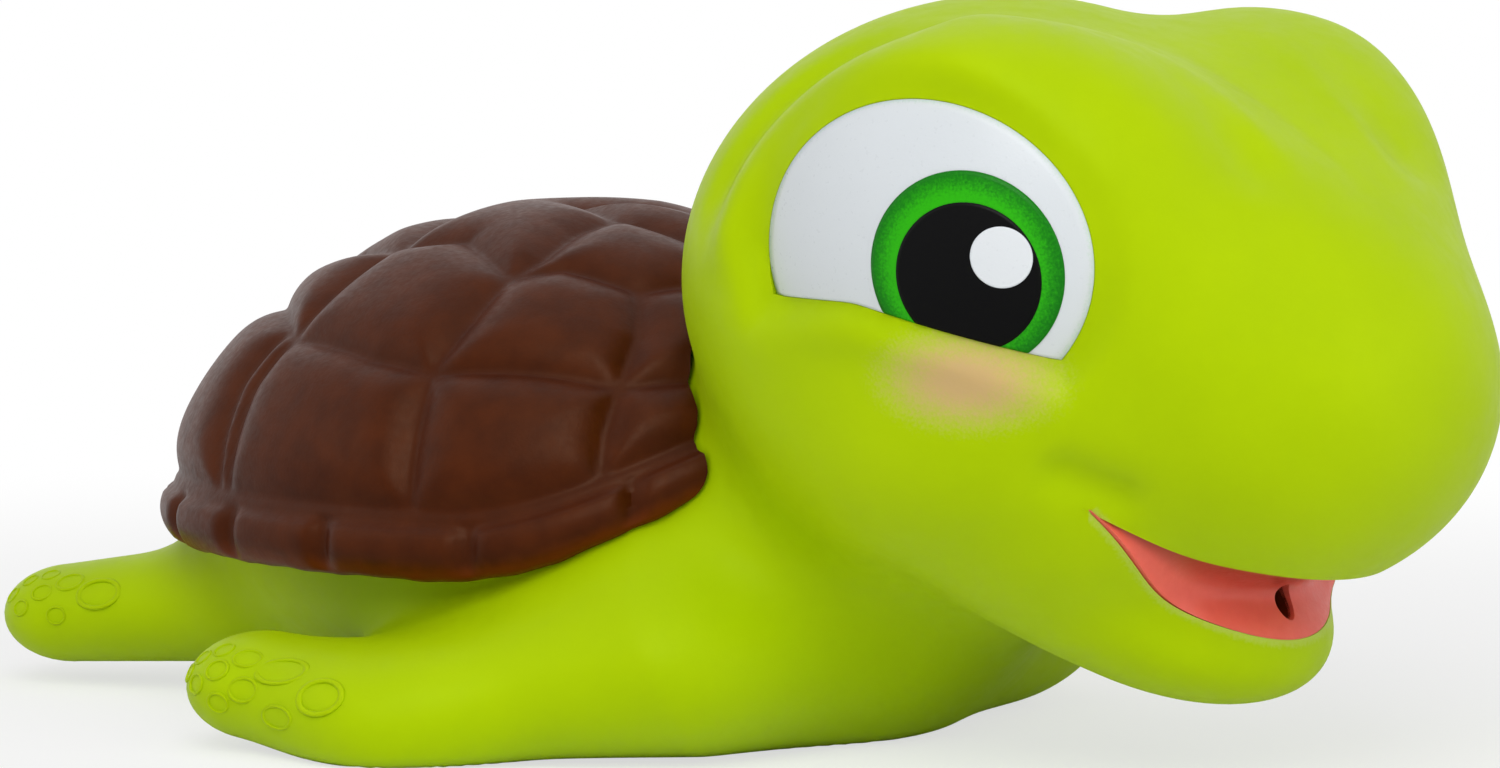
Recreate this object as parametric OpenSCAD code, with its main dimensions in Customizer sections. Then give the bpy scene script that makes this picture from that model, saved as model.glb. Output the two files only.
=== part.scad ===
// Squeaky bath toy: a soft vinyl sea turtle that lies on its belly, with a squirt hole
// in the mouth and a reed squeaker pressed into the belly.
// +X is the way the turtle looks, +Y its left side, +Z up. The origin is on the floor, on
// the belly's flat under the chest. Sizes are in millimetres.
//
// The green skin is one moulding. Its form is a smooth blend of ellipsoids and tapered
// limbs, written as one distance function and meshed on a grid of cells. Places of the
// paired forms are given on the right side, where Y is negative, and mirrored.

/* [Head] */
// Skull: length, width and height
skull_size = [42.6, 51, 39.8]; // [30:0.1:60]
// Skull: centre
skull_at = [23.9, 0, 34.2]; // [-60:0.1:60]
// Brow over each eye: length along the eye, bulge and height
brow_size = [28, 20.8, 23.6]; // [15:0.1:40]
// Brow: centre
brow_at = [36, -15.4, 41.4]; // [-60:0.1:60]
// Brow: how far it is turned towards the beak, in degrees
brow_yaw = 28; // [20:1:36]
// Beak: length, width and height
beak_size = [40, 37, 32]; // [25:0.1:50]
// Beak: centre
beak_at = [42.5, 0, 28.8]; // [-60:0.1:60]
// Beak: how far it points down, in degrees
beak_pitch = 14; // [0:1:25]
// Cheek under each eye: length, width and height
cheek_size = [27.6, 23, 16.6]; // [10:0.1:35]
// Cheek: centre
cheek_at = [30, -12.5, 23.5]; // [-60:0.1:60]
// Lower jaw: length, width and height
jaw_size = [32.6, 27, 14]; // [8:0.1:45]
// Lower jaw: centre
jaw_at = [34.6, 0, 14.8]; // [-60:0.1:60]
// Lower jaw: how far it points down, in degrees
jaw_pitch = 26; // [0:1:32]
// Corner of the smile: length, width and height
smile_size = [18, 16, 13]; // [8:0.1:30]
// Corner of the smile: centre
smile_at = [36.5, -10.5, 18.5]; // [-60:0.1:60]

/* [Mouth] */
// Height of the lower lip above the floor at the middle
lip_z = 10.2; // [9.6:0.1:10.6]
// Opening between the lips at the middle
mouth_gap = 4.6; // [4:0.1:5.1]
// Half the width at which the lips would meet
mouth_half = 19; // [17.5:0.1:20]
// Height of the smile's corners above the floor
mouth_corner_z = 21.7; // [20.8:0.1:22.4]
// Depth of the pink recess behind the lips
mouth_depth = 1.6; // [1.2:0.1:1.8]
// How far back the recess reaches, as a distance ahead of the origin
mouth_back = 36; // [34:0.5:40]
// Thickness of the pink coat
coat_t = 0.5; // [0.4:0.1:0.6]
// Diameter of the squirt hole
squirt_d = 2; // [1.5:0.1:2.6]
// Height of the squirt hole above the floor
squirt_z = 12.7; // [12.2:0.1:13.2]

/* [Eyes] */
// Way that each eye faces, in degrees from straight to the side
eye_yaw = 11; // [6:1:16]
// Middle of the eye's surface
eye_at = [35.6, -25.4, 38.8]; // [-60:0.1:60]
// Eye: width and height of its whole oval
eye_size = [25.8, 18.8]; // [16:0.1:27]
// Ball under the eye: width, thickness and height
ball_size = [38.8, 30.4, 38.2]; // [26:0.1:42]
// Height of the lower lid under the middle of the eye
lid_drop = 4.45; // [4:0.05:6]
// How far the lid falls away at its end towards the beak
lid_fall = 5.2; // [4:0.1:6.5]
// Radius of the green iris
iris_r = 6.5; // [5.5:0.1:7]
// Iris: centre ahead of and above the eye's middle
iris_at = [3.1, -2.4]; // [-4:0.1:4]
// Radius of the black pupil
pupil_r = 5; // [4:0.05:5.4]
// Pupil: centre ahead of and above the eye's middle
pupil_at = [3.6, -2.9]; // [-4:0.1:4]
// Radius of the white glint
glint_r = 2.05; // [1.5:0.05:2.4]
// Glint: centre ahead of and above the eye's middle
glint_at = [6.1, -1.5]; // [-5:0.1:7]
// Thickness of each printed layer
print_t = 0.15; // [0.1:0.01:0.2]
// Gap under each printed layer
print_gap = 0.06; // [0.05:0.01:0.08]

/* [Trunk and neck] */
// Trunk under the shell: length, width and height
trunk_size = [68.4, 50, 27.6]; // [20:0.1:80]
// Trunk: centre
trunk_at = [-14.5, 0, 12.8]; // [-60:0.1:60]
// Chest in front of the shell: length, width and height
chest_size = [33, 38, 23.8]; // [20:0.1:50]
// Chest: centre
chest_at = [2.2, 0, 10]; // [-60:0.1:60]
// Neck: diameter in the trunk and in the head
neck_d = [26, 25]; // [18:0.5:32]
// Neck: middle of its end in the trunk
neck_from = [0, 0, 10]; // [-60:0.1:60]
// Neck: middle of its end in the head
neck_to = [17, 0, 19]; // [-60:0.1:60]

/* [Flippers] */
// How many times wider than thick the flippers are
flipper_flat = 1.45; // [1.2:0.05:1.7]
// Front flipper: width at shoulder, elbow and tip
arm_w = [20, 11.6, 11.4]; // [8:0.1:24]
// Front flipper: shoulder
shoulder_at = [7, -18.5, 7]; // [-60:0.1:60]
// Front flipper: elbow
elbow_at = [-7.5, -30.3, 2.8]; // [-60:0.1:60]
// Front flipper: middle of the round tip
arm_tip_at = [-18, -32.8, 4.4]; // [-60:0.1:60]
// Rear flipper: width at its root and tip
leg_w = [13.4, 11]; // [8:0.1:18]
// Rear flipper: root
hip_at = [-40.5, -13, 6.8]; // [-60:0.1:60]
// Rear flipper: middle of the round tip
leg_tip_at = [-53.7, -17.9, 5.3]; // [-60:0.1:60]

/* [Shell] */
// Dome of the shell: how much longer, wider and taller its oval is than the trunk
dome_over = [1.2, 11.2, 22.4]; // [0:0.1:26]
// Dome: how far its centre lies from the trunk's
dome_from = [-1.1, 0, 0.6]; // [-6:0.1:6]
// Height of the shell's lower edge above the floor
rim_z = 12.7; // [12:0.1:13.4]
// Where the lower edge starts to rise towards the neck
rim_rise_x = -5.5; // [-8:0.5:-3]
// How much higher the lower edge is at the front end of the dome
rim_rise = 15.4; // [12:0.1:18]
// Height of the band of small plates round the edge
band_h = 4.4; // [3.5:0.1:5.5]
// How far each plate puffs out between the grooves
puff = 1.2; // [0.8:0.1:1.5]
// Distance from a groove at which a plate is at its full height
puff_w = 6; // [4:0.5:8]
// Thickness of the shell over the back
shell_t = 1.8; // [1.5:0.1:2.2]

/* [Vinyl] */
// Wall of the hollow vinyl skin
wall = 2.2; // [1.8:0.1:2.5]
// Gap between the shell and the skin under it
seat_gap = 0.3; // [0.25:0.05:0.35]
// Size of the cells that the skin is meshed with
cell = 3.6; // [3.4:0.1:3.8]

/* [Squeaker] */
// Place of the squeaker's axis along the belly
squeaker_x = -14; // [-17:0.5:-12]
// Outer diameter of the squeaker's flange
flange_d = 16; // [15:0.5:17]
// Thickness of the flange
flange_t = 1.2; // [1:0.1:1.4]
// How far the flange sits above the floor
flange_lift = 0.8; // [0.6:0.1:1]
// Outer diameter of the squeaker's cup
cup_d = 12; // [11:0.5:12.5]
// Height of the cup above its flange
cup_h = 9; // [8:0.5:10]
// Wall of the cup
cup_wall = 1.2; // [1:0.1:1.3]
// How far the barb stands out from the cup
barb = 0.6; // [0.4:0.1:0.8]
// Outer diameter of the vinyl collar round the cup
collar_d = 19; // [18.5:0.5:20]
// Height of the vinyl collar above the flange
collar_h = 3; // [2.5:0.1:3.4]
// Diameter of the air hole in the flange
air_d = 3; // [2.5:0.1:3.4]
// Clearance round the squeaker's pieces
fit = 0.15; // [0.1:0.05:0.2]
// Diameter of the reed block
block_d = 6; // [5.5:0.1:6.4]
// Height of the reed block
block_h = 6.5; // [6:0.1:7]
// How far the reed block's flat lies from the squeaker's axis
flat_x = 1.5; // [1.2:0.1:1.8]
// Diameter of the wind way up the reed block
wind_d = 2.2; // [1.8:0.1:2.3]
// Width of the slot that the reed beats over
slot_w = 1.6; // [1.4:0.1:1.8]
// Reed: width
reed_w = 3.2; // [2.8:0.1:3.6]
// Reed: length
reed_l = 5.8; // [5.4:0.1:6]
// Reed: thickness
reed_t = 0.2; // [0.15:0.01:0.25]
// Height of the clip that holds the reed's root
clip_h = 1; // [0.8:0.1:1.2]
// Thickness of the cap over the cup
cap_t = 1; // [0.8:0.1:1.2]
// Depth of the cap's spigot in the cup
spigot_h = 1.2; // [1:0.1:1.5]
// Diameter of each air hole in the cap
vent_d = 1.6; // [1.2:0.1:1.8]

/* [Hidden] */
$fn = 48;

// Distances over which neighbouring forms flow into each other
blend_brow = 6;
blend_beak = 12;
blend_cheek = 8;
blend_jaw = 3;
blend_smile = 5;
blend_trunk = 10;
blend_chest = 8;
blend_arm = 7;
blend_elbow = 6;
blend_leg = 6;
blend_head = 7;
blend_back = 3;
blend_floor = 1.5;
// How far the form reaches under the floor before it is cut flat
belly_sink = 0.3;
// Overrun of cutting tools past the surfaces that they cut
overrun = 1;

// Sizes of the grids of cells: lowest corner and span of the skin, and of the mouth
skin_lo = [leg_tip_at.x - leg_w[1], arm_tip_at.y - arm_w[1], -cell];
skin_hi = [beak_at.x + beak_size.x / 2 + cell, -skin_lo.y,
           brow_at.z + brow_size.z / 2 + 2 * cell];
void_cell = cell * 1.5;
mouth_cell = cell * 0.6;
mouth_lo = [mouth_back - 2 * mouth_cell, -mouth_half - 3 * mouth_cell, lip_z - 3 * mouth_cell];
mouth_hi = [beak_at.x + beak_size.x / 2, -mouth_lo.y, mouth_corner_z + 3 * mouth_cell];

// The shell's dome, round the trunk
dome_size = trunk_size + dome_over;
dome_at = trunk_at + dome_from;

// The middle of the ball under the eye, straight behind the middle of the eye's surface
eye_out = [sin(eye_yaw), -cos(eye_yaw), 0];
ball_at = eye_at - ball_size.y / 2 * eye_out;
// How fast the lips curve up to the corners of the smile
lip_rise = (mouth_corner_z - lip_z) / pow(mouth_half, 2);
roof_rise = (mouth_corner_z - lip_z - mouth_gap) / pow(mouth_half, 2);

// Squeaker: heights above the floor
flange_top = flange_lift + flange_t;
cup_top = flange_top + cup_h;
collar_top = flange_top + collar_h;
cup_bore = cup_d - 2 * cup_wall;
// Reed: gap to the block's flat, and height of its root
reed_gap = fit * 2 / 3;
reed_root = flange_top + reed_t;

// Smooth union and intersection of two distances over the blending distance k
function joined(a, b, k) = min(a, b) - pow(max(k - abs(a - b), 0), 2) / (4 * k);
function common(a, b, k) = max(a, b) + pow(max(k - abs(a - b), 0), 2) / (4 * k);
// A place turned back about Z, and about Y
function yawed(q, a) = [q.x * cos(a) + q.y * sin(a), q.y * cos(a) - q.x * sin(a), q.z];
function pitched(q, a) = [q.x * cos(a) - q.z * sin(a), q.y, q.x * sin(a) + q.z * cos(a)];
// Near enough the distance from q to an oval of this size at the origin
function oval(q, size) = let(
    u = [2 * q.x / size.x, 2 * q.y / size.y, 2 * q.z / size.z],
    k0 = norm(u),
    k1 = norm([2 * u.x / size.x, 2 * u.y / size.y, 2 * u.z / size.z]))
    k1 == 0 ? -min(size) / 2 : k0 * (k0 - 1) / k1;
// Distance to a round limb that tapers from diameter da at a to db at b
function limb(q, a, b, da, db) = let(
    t = min(1, max(0, (q - a) * (b - a) / ((b - a) * (b - a)))))
    norm(q - a - t * (b - a)) - (da + (db - da) * t) / 2;
// The same for a limb that is flattened
function flat_of(q) = [q.x, q.y, q.z * flipper_flat];
function paddle(q, a, b, wa, wb) =
    limb(flat_of(q), flat_of(a), flat_of(b), wa, wb) / sqrt(flipper_flat);

// The forms of the head and the trunk at a place q on the right side
function upper_head(q) = joined(joined(joined(
    oval(q - skull_at, skull_size),
    oval(yawed(q - brow_at, brow_yaw), brow_size), blend_brow),
    oval(pitched(q - beak_at, beak_pitch), beak_size), blend_beak),
    oval(q - cheek_at, cheek_size), blend_cheek);
function lower_jaw(q) = joined(oval(pitched(q - jaw_at, jaw_pitch), jaw_size),
    oval(q - smile_at, smile_size), blend_smile);
function front_flipper(q) = joined(
    paddle(q, shoulder_at, elbow_at, arm_w[0], arm_w[1]),
    paddle(q, elbow_at, arm_tip_at, arm_w[1], arm_w[2]), blend_elbow);
function rear_flipper(q) = paddle(q, hip_at, leg_tip_at, leg_w[0], leg_w[1]);
function trunk(q) = joined(joined(
    oval(q - trunk_at, trunk_size),
    limb(q, neck_from, neck_to, neck_d[0], neck_d[1]), blend_trunk),
    oval(q - chest_at, chest_size), blend_chest);
// The back that fills the shell, under its thickness and its seat
function rim_height(x) = rim_z
    + rim_rise * pow(max(x - rim_rise_x, 0) / (dome_at.x + dome_size.x / 2 - rim_rise_x), 2);
function back(q) = common(oval(q - dome_at, dome_size) + puff + shell_t + seat_gap,
    rim_height(q.x) + shell_t - q.z, blend_back);
// The head, and the whole skin with the recesses of the eyes and the mouth left filled
function head(q) = joined(upper_head(q), lower_jaw(q), blend_jaw);
function skin(p) = let(q = [p.x, -abs(p.y), p.z])
    common(joined(joined(
        joined(joined(trunk(q), front_flipper(q), blend_arm), rear_flipper(q), blend_leg),
        head(q), blend_head), back(q), blend_back),
        -belly_sink - q.z, blend_floor);

// Places across the eye: s along it towards the beak, t up, n outwards
function eye_s(q) = (q - eye_at) * [cos(eye_yaw), sin(eye_yaw), 0];
function eye_n(q) = (q - eye_at) * eye_out;
// Signed size of the part of an oval or circle that lies above the lower lid, by a gap
function lid_t(s) = -lid_drop
    - lid_fall * pow(max(s + eye_size.x / 3, 0) / (eye_size.x / 2 + eye_size.x / 3), 2);
function above_lid(s, t, at, size, gap) = max(
    (norm([2 * (s - at.x) / size.x, 2 * (t - at.y) / size.y]) - 1) * min(size) / 2,
    lid_t(s) + gap - t);
// How far the ball's surface lies out at a place across the eye
function ball_n(s, t) = ball_size.y / 2
    * (sqrt(1 - pow(2 * s / ball_size.x, 2) - pow(2 * t / ball_size.z, 2)) - 1);
// Signed height between the lips, and the hollow inside the skin. It is clear of both
// recesses, and the flippers are solid.
function between_lips(q) = max(lip_z + lip_rise * q.y * q.y - q.z,
    q.z - lip_z - mouth_gap - roof_rise * q.y * q.y, mouth_back - q.x);
function hollow(p) = let(q = [p.x, -abs(p.y), p.z], s = eye_s(q), t = q.z - eye_at.z)
    max(skin(p) + wall,
        joined(joined(trunk(q), head(q), blend_head), back(q), blend_back) + wall,
        min(oval(yawed(q - ball_at, eye_yaw), ball_size) + wall,
            wall - above_lid(s, t, [0, 0], eye_size, 0), eye_n(q) + ball_size.y / 2),
        min(skin(p) + mouth_depth + wall, wall - between_lips(q)),
        wall - q.z);

// A side of a cell whose corners are in and out by turns would join two sheets of the
// surface along one edge, so the corner nearest to the surface there changes sides.
SIDES = [for (s = [-1, 1]) for (t = [-1, 1])
    each [[[s, 0, 0], [0, t, 0]], [[0, s, 0], [0, 0, t]], [[s, 0, 0], [0, 0, t]]]];
function settled(v, n, cell) = [for (k = [0:n.z]) [for (j = [0:n.y]) [for (i = [0:n.x])
    let(x = v[k][j][i])
    i == 0 || j == 0 || k == 0 || i == n.x || j == n.y || k == n.z || abs(x) > cell ? x
    : max([for (s = SIDES) let(
        a = v[k + s[0].z][j + s[0].y][i + s[0].x],
        b = v[k + s[1].z][j + s[1].y][i + s[1].x],
        c = v[k + s[0].z + s[1].z][j + s[0].y + s[1].y][i + s[0].x + s[1].x])
        (x < 0) == (c < 0) && (a < 0) == (b < 0) && (x < 0) != (a < 0)
            && abs(x) <= min(abs(a), abs(b), abs(c)) ? 1 : 0]) == 0 ? x
    : (x < 0 ? 1 : -1) * cell / 50]]];

// The surface on which a distance is zero, as a closed mesh of [points, triangles].
// Each cell that the surface crosses has one corner, at the mean of its crossings.
CORNERS = [[0, 0, 0], [1, 0, 0], [0, 1, 0], [1, 1, 0], [0, 0, 1], [1, 0, 1], [0, 1, 1], [1, 1, 1]];
EDGES = [[0, 1], [2, 3], [4, 5], [6, 7], [0, 2], [1, 3], [4, 6], [5, 7], [0, 4], [1, 5], [2, 6], [3, 7]];
function mesh_of(f, lo, hi, cell) = let(
    n = [for (a = [0:2]) ceil((hi[a] - lo[a]) / cell)],
    step = [for (a = [0:2]) (hi[a] - lo[a]) / n[a]],
    raw = [for (k = [0:n.z]) [for (j = [0:n.y]) [for (i = [0:n.x])
        i == 0 || j == 0 || k == 0 || i == n.x || j == n.y || k == n.z ? cell
            : f([lo.x + i * step.x, lo.y + j * step.y, lo.z + k * step.z])]]],
    v = settled(settled(raw, n, cell), n, cell),
    at = function(c, i, j, k) v[k + c.z][j + c.y][i + c.x],
    corner = [for (k = [0:n.z - 1]) for (j = [0:n.y - 1]) for (i = [0:n.x - 1])
        let(w = [for (c = CORNERS) at(c, i, j, k)], low = min(w), high = max(w))
        low < 0 && high >= 0 ? let(
            cuts = [for (e = EDGES) if ((w[e[0]] < 0) != (w[e[1]] < 0))
                let(a = CORNERS[e[0]], b = CORNERS[e[1]])
                a + (b - a) * w[e[0]] / (w[e[0]] - w[e[1]])],
            m = [for (c = cuts) 1] * cuts / len(cuts))
            [lo.x + (i + m.x) * step.x, lo.y + (j + m.y) * step.y, lo.z + (k + m.z) * step.z]
            : 0],
    number = [for (c = 0, count = -1 + (is_list(corner[0]) ? 1 : 0); c < len(corner);
        c = c + 1, count = count + (is_list(corner[c]) ? 1 : 0)) count],
    id = function(i, j, k) number[i + n.x * (j + n.y * k)],
    points = [for (c = corner) if (is_list(c)) c],
    quads = [for (k = [0:n.z - 1]) for (j = [0:n.y - 1]) for (i = [0:n.x - 1])
        let(here = v[k][j][i] < 0)
        each [if (j > 0 && k > 0 && here != (v[k][j][i + 1] < 0))
                turned([id(i, j - 1, k - 1), id(i, j, k - 1), id(i, j, k), id(i, j - 1, k)], here),
            if (i > 0 && k > 0 && here != (v[k][j + 1][i] < 0))
                turned([id(i - 1, j, k - 1), id(i - 1, j, k), id(i, j, k), id(i, j, k - 1)], here),
            if (i > 0 && j > 0 && here != (v[k + 1][j][i] < 0))
                turned([id(i - 1, j - 1, k), id(i, j - 1, k), id(i, j, k), id(i - 1, j, k)], here)]])
    [points, [for (q = quads) each
        norm(points[q[0]] - points[q[2]]) < norm(points[q[1]] - points[q[3]])
            ? [[q[0], q[1], q[2]], [q[0], q[2], q[3]]]
            : [[q[0], q[1], q[3]], [q[1], q[2], q[3]]]]];
// The corners of a face in the order that faces it outwards
function turned(face, here) = here ? [face[3], face[2], face[1], face[0]] : face;

module grown(f, lo, hi, size) {
    m = mesh_of(f, lo, hi, size);
    polyhedron(points = m[0], faces = m[1], convexity = 10);
}

// A mesh over rings of equally many points, closed by a point at each end
function ringed(rings, first, last) = let(n = len(rings[0]), m = len(rings)) [
    concat([first], [for (r = rings) each r], [last]),
    concat([for (i = [0:n - 1]) [0, 1 + i, 1 + (i + 1) % n]],
        [for (k = [0:m - 2]) for (i = [0:n - 1]) let(a = 1 + k * n + i, b = 1 + k * n + (i + 1) % n)
            each [[a, a + n, b + n], [a, b + n, b]]],
        [for (i = [0:n - 1]) [1 + m * n, 1 + (m - 1) * n + (i + 1) % n, 1 + (m - 1) * n + i]])];

// Everything in here becomes one mesh
module as_one_mesh() {
    resize([0, 0, 0]) union() children();
}

module mirrored() {
    children();
    mirror([0, 1, 0]) children();
}

// Grooves between the shell's plates, on the right half, seen from above. Each place is
// [ahead, aside] as a share of the way from the dome's top down to its widest line.
seam_shares = [
    [[-0.16, 0], [-0.15, 0.06], [-0.12, 0.29], [-0.18, 0.56], [-0.23, 0.81], [-0.27, 1]],
    [[0, 0], [0.15, 0.1], [0.16, 0.36], [0.16, 0.6], [0.25, 0.87], [0.28, 1]],
    [[0.15, 0.1], [0.36, 0.08], [0.66, 0.08]],
    [[0.34, 0.27], [0.46, 0.44], [0.58, 0.68], [0.66, 0.8]],
    [[-0.62, 0.12], [-0.3, 0.19], [-0.12, 0.29], [0.16, 0.36], [0.21, 0.3], [0.34, 0.27],
        [0.36, 0.2], [0.66, 0.2]],
    [[-0.66, 0], [-0.62, 0.12], [-0.37, 0.35], [-0.18, 0.56], [0.16, 0.6], [0.46, 0.44],
        [0.52, 0.36], [0.7, 0.28]],
    [[-0.66, 0], [-1, 0]],
    [[-0.56, 0.2], [-0.9, 0.44]]];
// Ways in which the grooves of the edge band lie, in degrees from straight ahead
band_angles = [14, 30, 47, 68, 89, 107, 125, 143, 161, 180];
// Meshing of the dome: spokes, and rings over the plates and over the band
spokes = 80;
plate_rings = 17;
band_rings = 4;
// Share of the way down at which the search for a height over the band ends
search_share = 1.3;
// Halvings in a search for a place on a curved form
halvings = 16;

// The shell's dome in the bottoms of its grooves, seen as a flat map in those shares
groove_size = dome_size - 2 * [puff, puff, puff];
function way_up(m) = let(down = 90 * norm(m), round = atan2(m.y, m.x))
    [sin(down) * cos(round), sin(down) * sin(round), cos(down)];
function in_groove(m) = let(w = way_up(m)) [for (a = [0:2]) dome_at[a] + groove_size[a] / 2 * w[a]];
// Length on the dome of one share of the map
share_length = PI / 12 * (groove_size.x + groove_size.y + groove_size.z);
// Height above the band's upper edge
function over_band(m) = let(p = in_groove(m)) p.z - rim_height(p.x) - band_h;
// Share of the way down at which the dome is this high over the band, on one spoke
function share_at(spoke, height) = share_in(spoke, height, 0, search_share, halvings);
function share_in(spoke, height, lo, hi, left) = let(r = (lo + hi) / 2)
    left == 0 ? r
    : over_band(r * spoke) > height ? share_in(spoke, height, r, hi, left - 1)
    : share_in(spoke, height, lo, r, left - 1);

// The place nearest to m on a groove between the plates, on the right half
function nearest_groove(m) = let(
    feet = [for (l = seam_shares) for (i = [1:len(l) - 1])
        let(a = l[i - 1], b = l[i]) a + min(1, max(0, (m - a) * (b - a) / ((b - a) * (b - a)))) * (b - a)],
    gaps = [for (f = feet) norm(m - f)],
    least = min(gaps))
    [for (i = [0:len(feet) - 1]) if (gaps[i] == least) feet[i]][0];
// A corner of the mesh, moved into a groove that is within reach of it
function seated(m, reach) = let(f = nearest_groove([m.x, abs(m.y)]))
    norm(f - [m.x, abs(m.y)]) < reach ? [f.x, m.y < 0 ? -f.y : f.y] : m;
// The way round of a spoke, moved onto a groove of the band that is within reach
function seated_round(round, reach) = let(
    near = [for (a = band_angles) for (s = [-1, 1]) if (abs(s * a - round) < reach) s * a])
    len(near) > 0 ? near[0] : round;

// Height of a plate at this distance from its grooves
function puffed(d, w) = puff * (1 - pow(1 - min(1, max(0, d) / w), 2));
function plate_height(m) = puffed(min(max(0, over_band(m)),
    share_length * norm(nearest_groove([m.x, abs(m.y)]) - [m.x, abs(m.y)])), puff_w);
function band_height(m) = puffed(min(max(0, -over_band(m)),
    share_length / 90 * min([for (a = band_angles) abs(a - abs(atan2(m.y, m.x)))])), band_h / 2);
function raised(m, h) = in_groove(m) + h * way_up(m);

module dome() {
    round = function(i) 180 - 360 * (i + 0.5) / spokes;
    spoke = function(i) [cos(round(i)), sin(round(i))];
    edges = [for (i = [0:spokes - 1]) share_at(spoke(i), 0)];
    plates = [for (k = [1:plate_rings]) [for (i = [0:spokes - 1]) let(
        r = edges[i] * k / plate_rings,
        m = seated(r * spoke(i), min(edges[i] / plate_rings, 2 * PI * r / spokes) / 2))
        raised(m, k == plate_rings ? 0 : plate_height(m))]];
    band = [for (k = [1:band_rings + 1]) [for (i = [0:spokes - 1]) let(
        a = seated_round(round(i), 180 / spokes),
        m = share_at([cos(a), sin(a)], -band_h * k / band_rings) * [cos(a), sin(a)])
        raised(m, band_height(m))]];
    m = ringed(concat(plates, band), raised([0, 0], plate_height([0, 0])),
        [dome_at.x, 0, dome_at.z - dome_size.z / 2]);
    polyhedron(points = m[0], faces = m[1], convexity = 10);
}

// Everything under the rising lower edge of the shell
module under_rim() {
    reach = dome_size.x / 2 + overrun;
    rotate([90, 0, 0])
        linear_extrude(height = dome_size.y + 2 * overrun, center = true)
            polygon(concat([[dome_at.x + reach, -dome_size.z], [dome_at.x - reach, -dome_size.z]],
                [for (i = [0:24]) let(x = dome_at.x + reach * (i / 12 - 1)) [x, rim_height(x)]]));
}

// Brown quilted shell, seated on the back of the skin
module carapace() {
    color("saddlebrown") as_one_mesh() difference() {
        dome();
        under_rim();
        grown(function(p) skin(p) - seat_gap, skin_lo, skin_hi, cell);
    }
}

// Outline of an eye print or of the eye's recess about its own middle, cut off above the
// lower lid by a gap
function eye_reach(at, size, way, gap) = reach_in(at, size, way, gap, 0, max(size), halvings);
function reach_in(at, size, way, gap, lo, hi, left) = let(r = (lo + hi) / 2)
    left == 0 ? r
    : above_lid(at.x + r * cos(way), at.y + r * sin(way), at, size, gap) < 0
        ? reach_in(at, size, way, gap, r, hi, left - 1)
        : reach_in(at, size, way, gap, lo, r, left - 1);
// A place in the ball's own directions, moved out to the eye
function eye_place(s, t, n) = [eye_at.x + s * cos(eye_yaw) + n * eye_out.x,
    eye_at.y + s * sin(eye_yaw) + n * eye_out.y, eye_at.z + t];

// A slab over the ball from the height low to the height high. Its rings are as close as
// the ball's curve needs.
ring_share = 0.25;
module on_ball(at, size, gap, low, high, count) {
    rings = ceil(max(size) / eye_size.x / ring_share);
    reach = [for (i = [0:count - 1]) eye_reach(at, size, -360 * i / count, gap)];
    ring = function(share, lift) [for (i = [0:count - 1])
        let(s = at.x + share * reach[i] * cos(-360 * i / count),
            t = at.y + share * reach[i] * sin(-360 * i / count))
        eye_place(s, t, ball_n(s, t) + lift)];
    middle = function(lift) eye_place(at.x, at.y, ball_n(at.x, at.y) + lift);
    m = ringed(concat([for (i = [1:rings]) ring(i / rings, high)],
        [for (i = [rings:-1:1]) ring(i / rings, low)]), middle(high), middle(low));
    polyhedron(points = m[0], faces = m[1], convexity = 4);
}
// A printed layer of the eye: number counts the layers from the ball outwards
module eye_print(at, size, number, count) {
    low = print_gap + number * (print_t + print_gap);
    on_ball(at, size, fit, low, low + print_t, count);
}

white_size = eye_size - [2, 2] * fit;
module eye_white_right() {
    color("white") eye_print([0, 0], white_size, 0, 32);
}
module iris_right() {
    color("green") eye_print(iris_at, [2, 2] * iris_r, 1, 24);
}
module pupil_right() {
    color("black") eye_print(pupil_at, [2, 2] * pupil_r, 2, 24);
}
module glint_right() {
    color("white") eye_print(glint_at, [2, 2] * glint_r, 3, 16);
}
module eye_white_left() {
    mirror([0, 1, 0]) eye_white_right();
}
module iris_left() {
    mirror([0, 1, 0]) iris_right();
}
module pupil_left() {
    mirror([0, 1, 0]) pupil_right();
}
module glint_left() {
    mirror([0, 1, 0]) glint_right();
}

// Recess of the right eye, down to the ball
module eye_recess() {
    on_ball([0, 0], eye_size, 0, 0, ball_size.y / 4, 32);
}

// Everything between the lips, smaller all round by inset
module between_the_lips(inset) {
    half = mouth_half * sqrt(1 - 3 * inset / mouth_gap);
    x0 = mouth_back + inset;
    y = function(i) half * (i / 10 - 1);
    rotate([90, 0, 90])
        translate([0, 0, x0])
            linear_extrude(height = mouth_hi.x - x0)
                polygon(concat(
                    [for (i = [0:20]) [y(i), lip_z + inset + lip_rise * pow(y(i), 2)]],
                    [for (i = [20:-1:0]) [y(i), max(lip_z + inset + lip_rise * pow(y(i), 2) + fit / 2,
                        lip_z + mouth_gap - inset + roof_rise * pow(y(i), 2))]]));
}
// The skin's form near the mouth, drawn in by depth
module mouth_core(depth) {
    grown(function(p) skin(p) + depth, mouth_lo, mouth_hi, mouth_cell);
}

// Pink coat on the wall of the mouth, round the squirt hole
module mouth_coat() {
    color("salmon") difference() {
        as_one_mesh() intersection() {
            between_the_lips(fit);
            difference() {
                mouth_core(mouth_depth - coat_t - fit);
                mouth_core(mouth_depth - fit);
            }
        }
        squirt_hole();
    }
}
// Bore of the squirt hole, from in front of the beak back into the hollow
module squirt_hole() {
    translate([mouth_back, 0, squirt_z])
        rotate([0, 90, 0])
            cylinder(d = squirt_d, h = beak_size.x);
}

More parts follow.
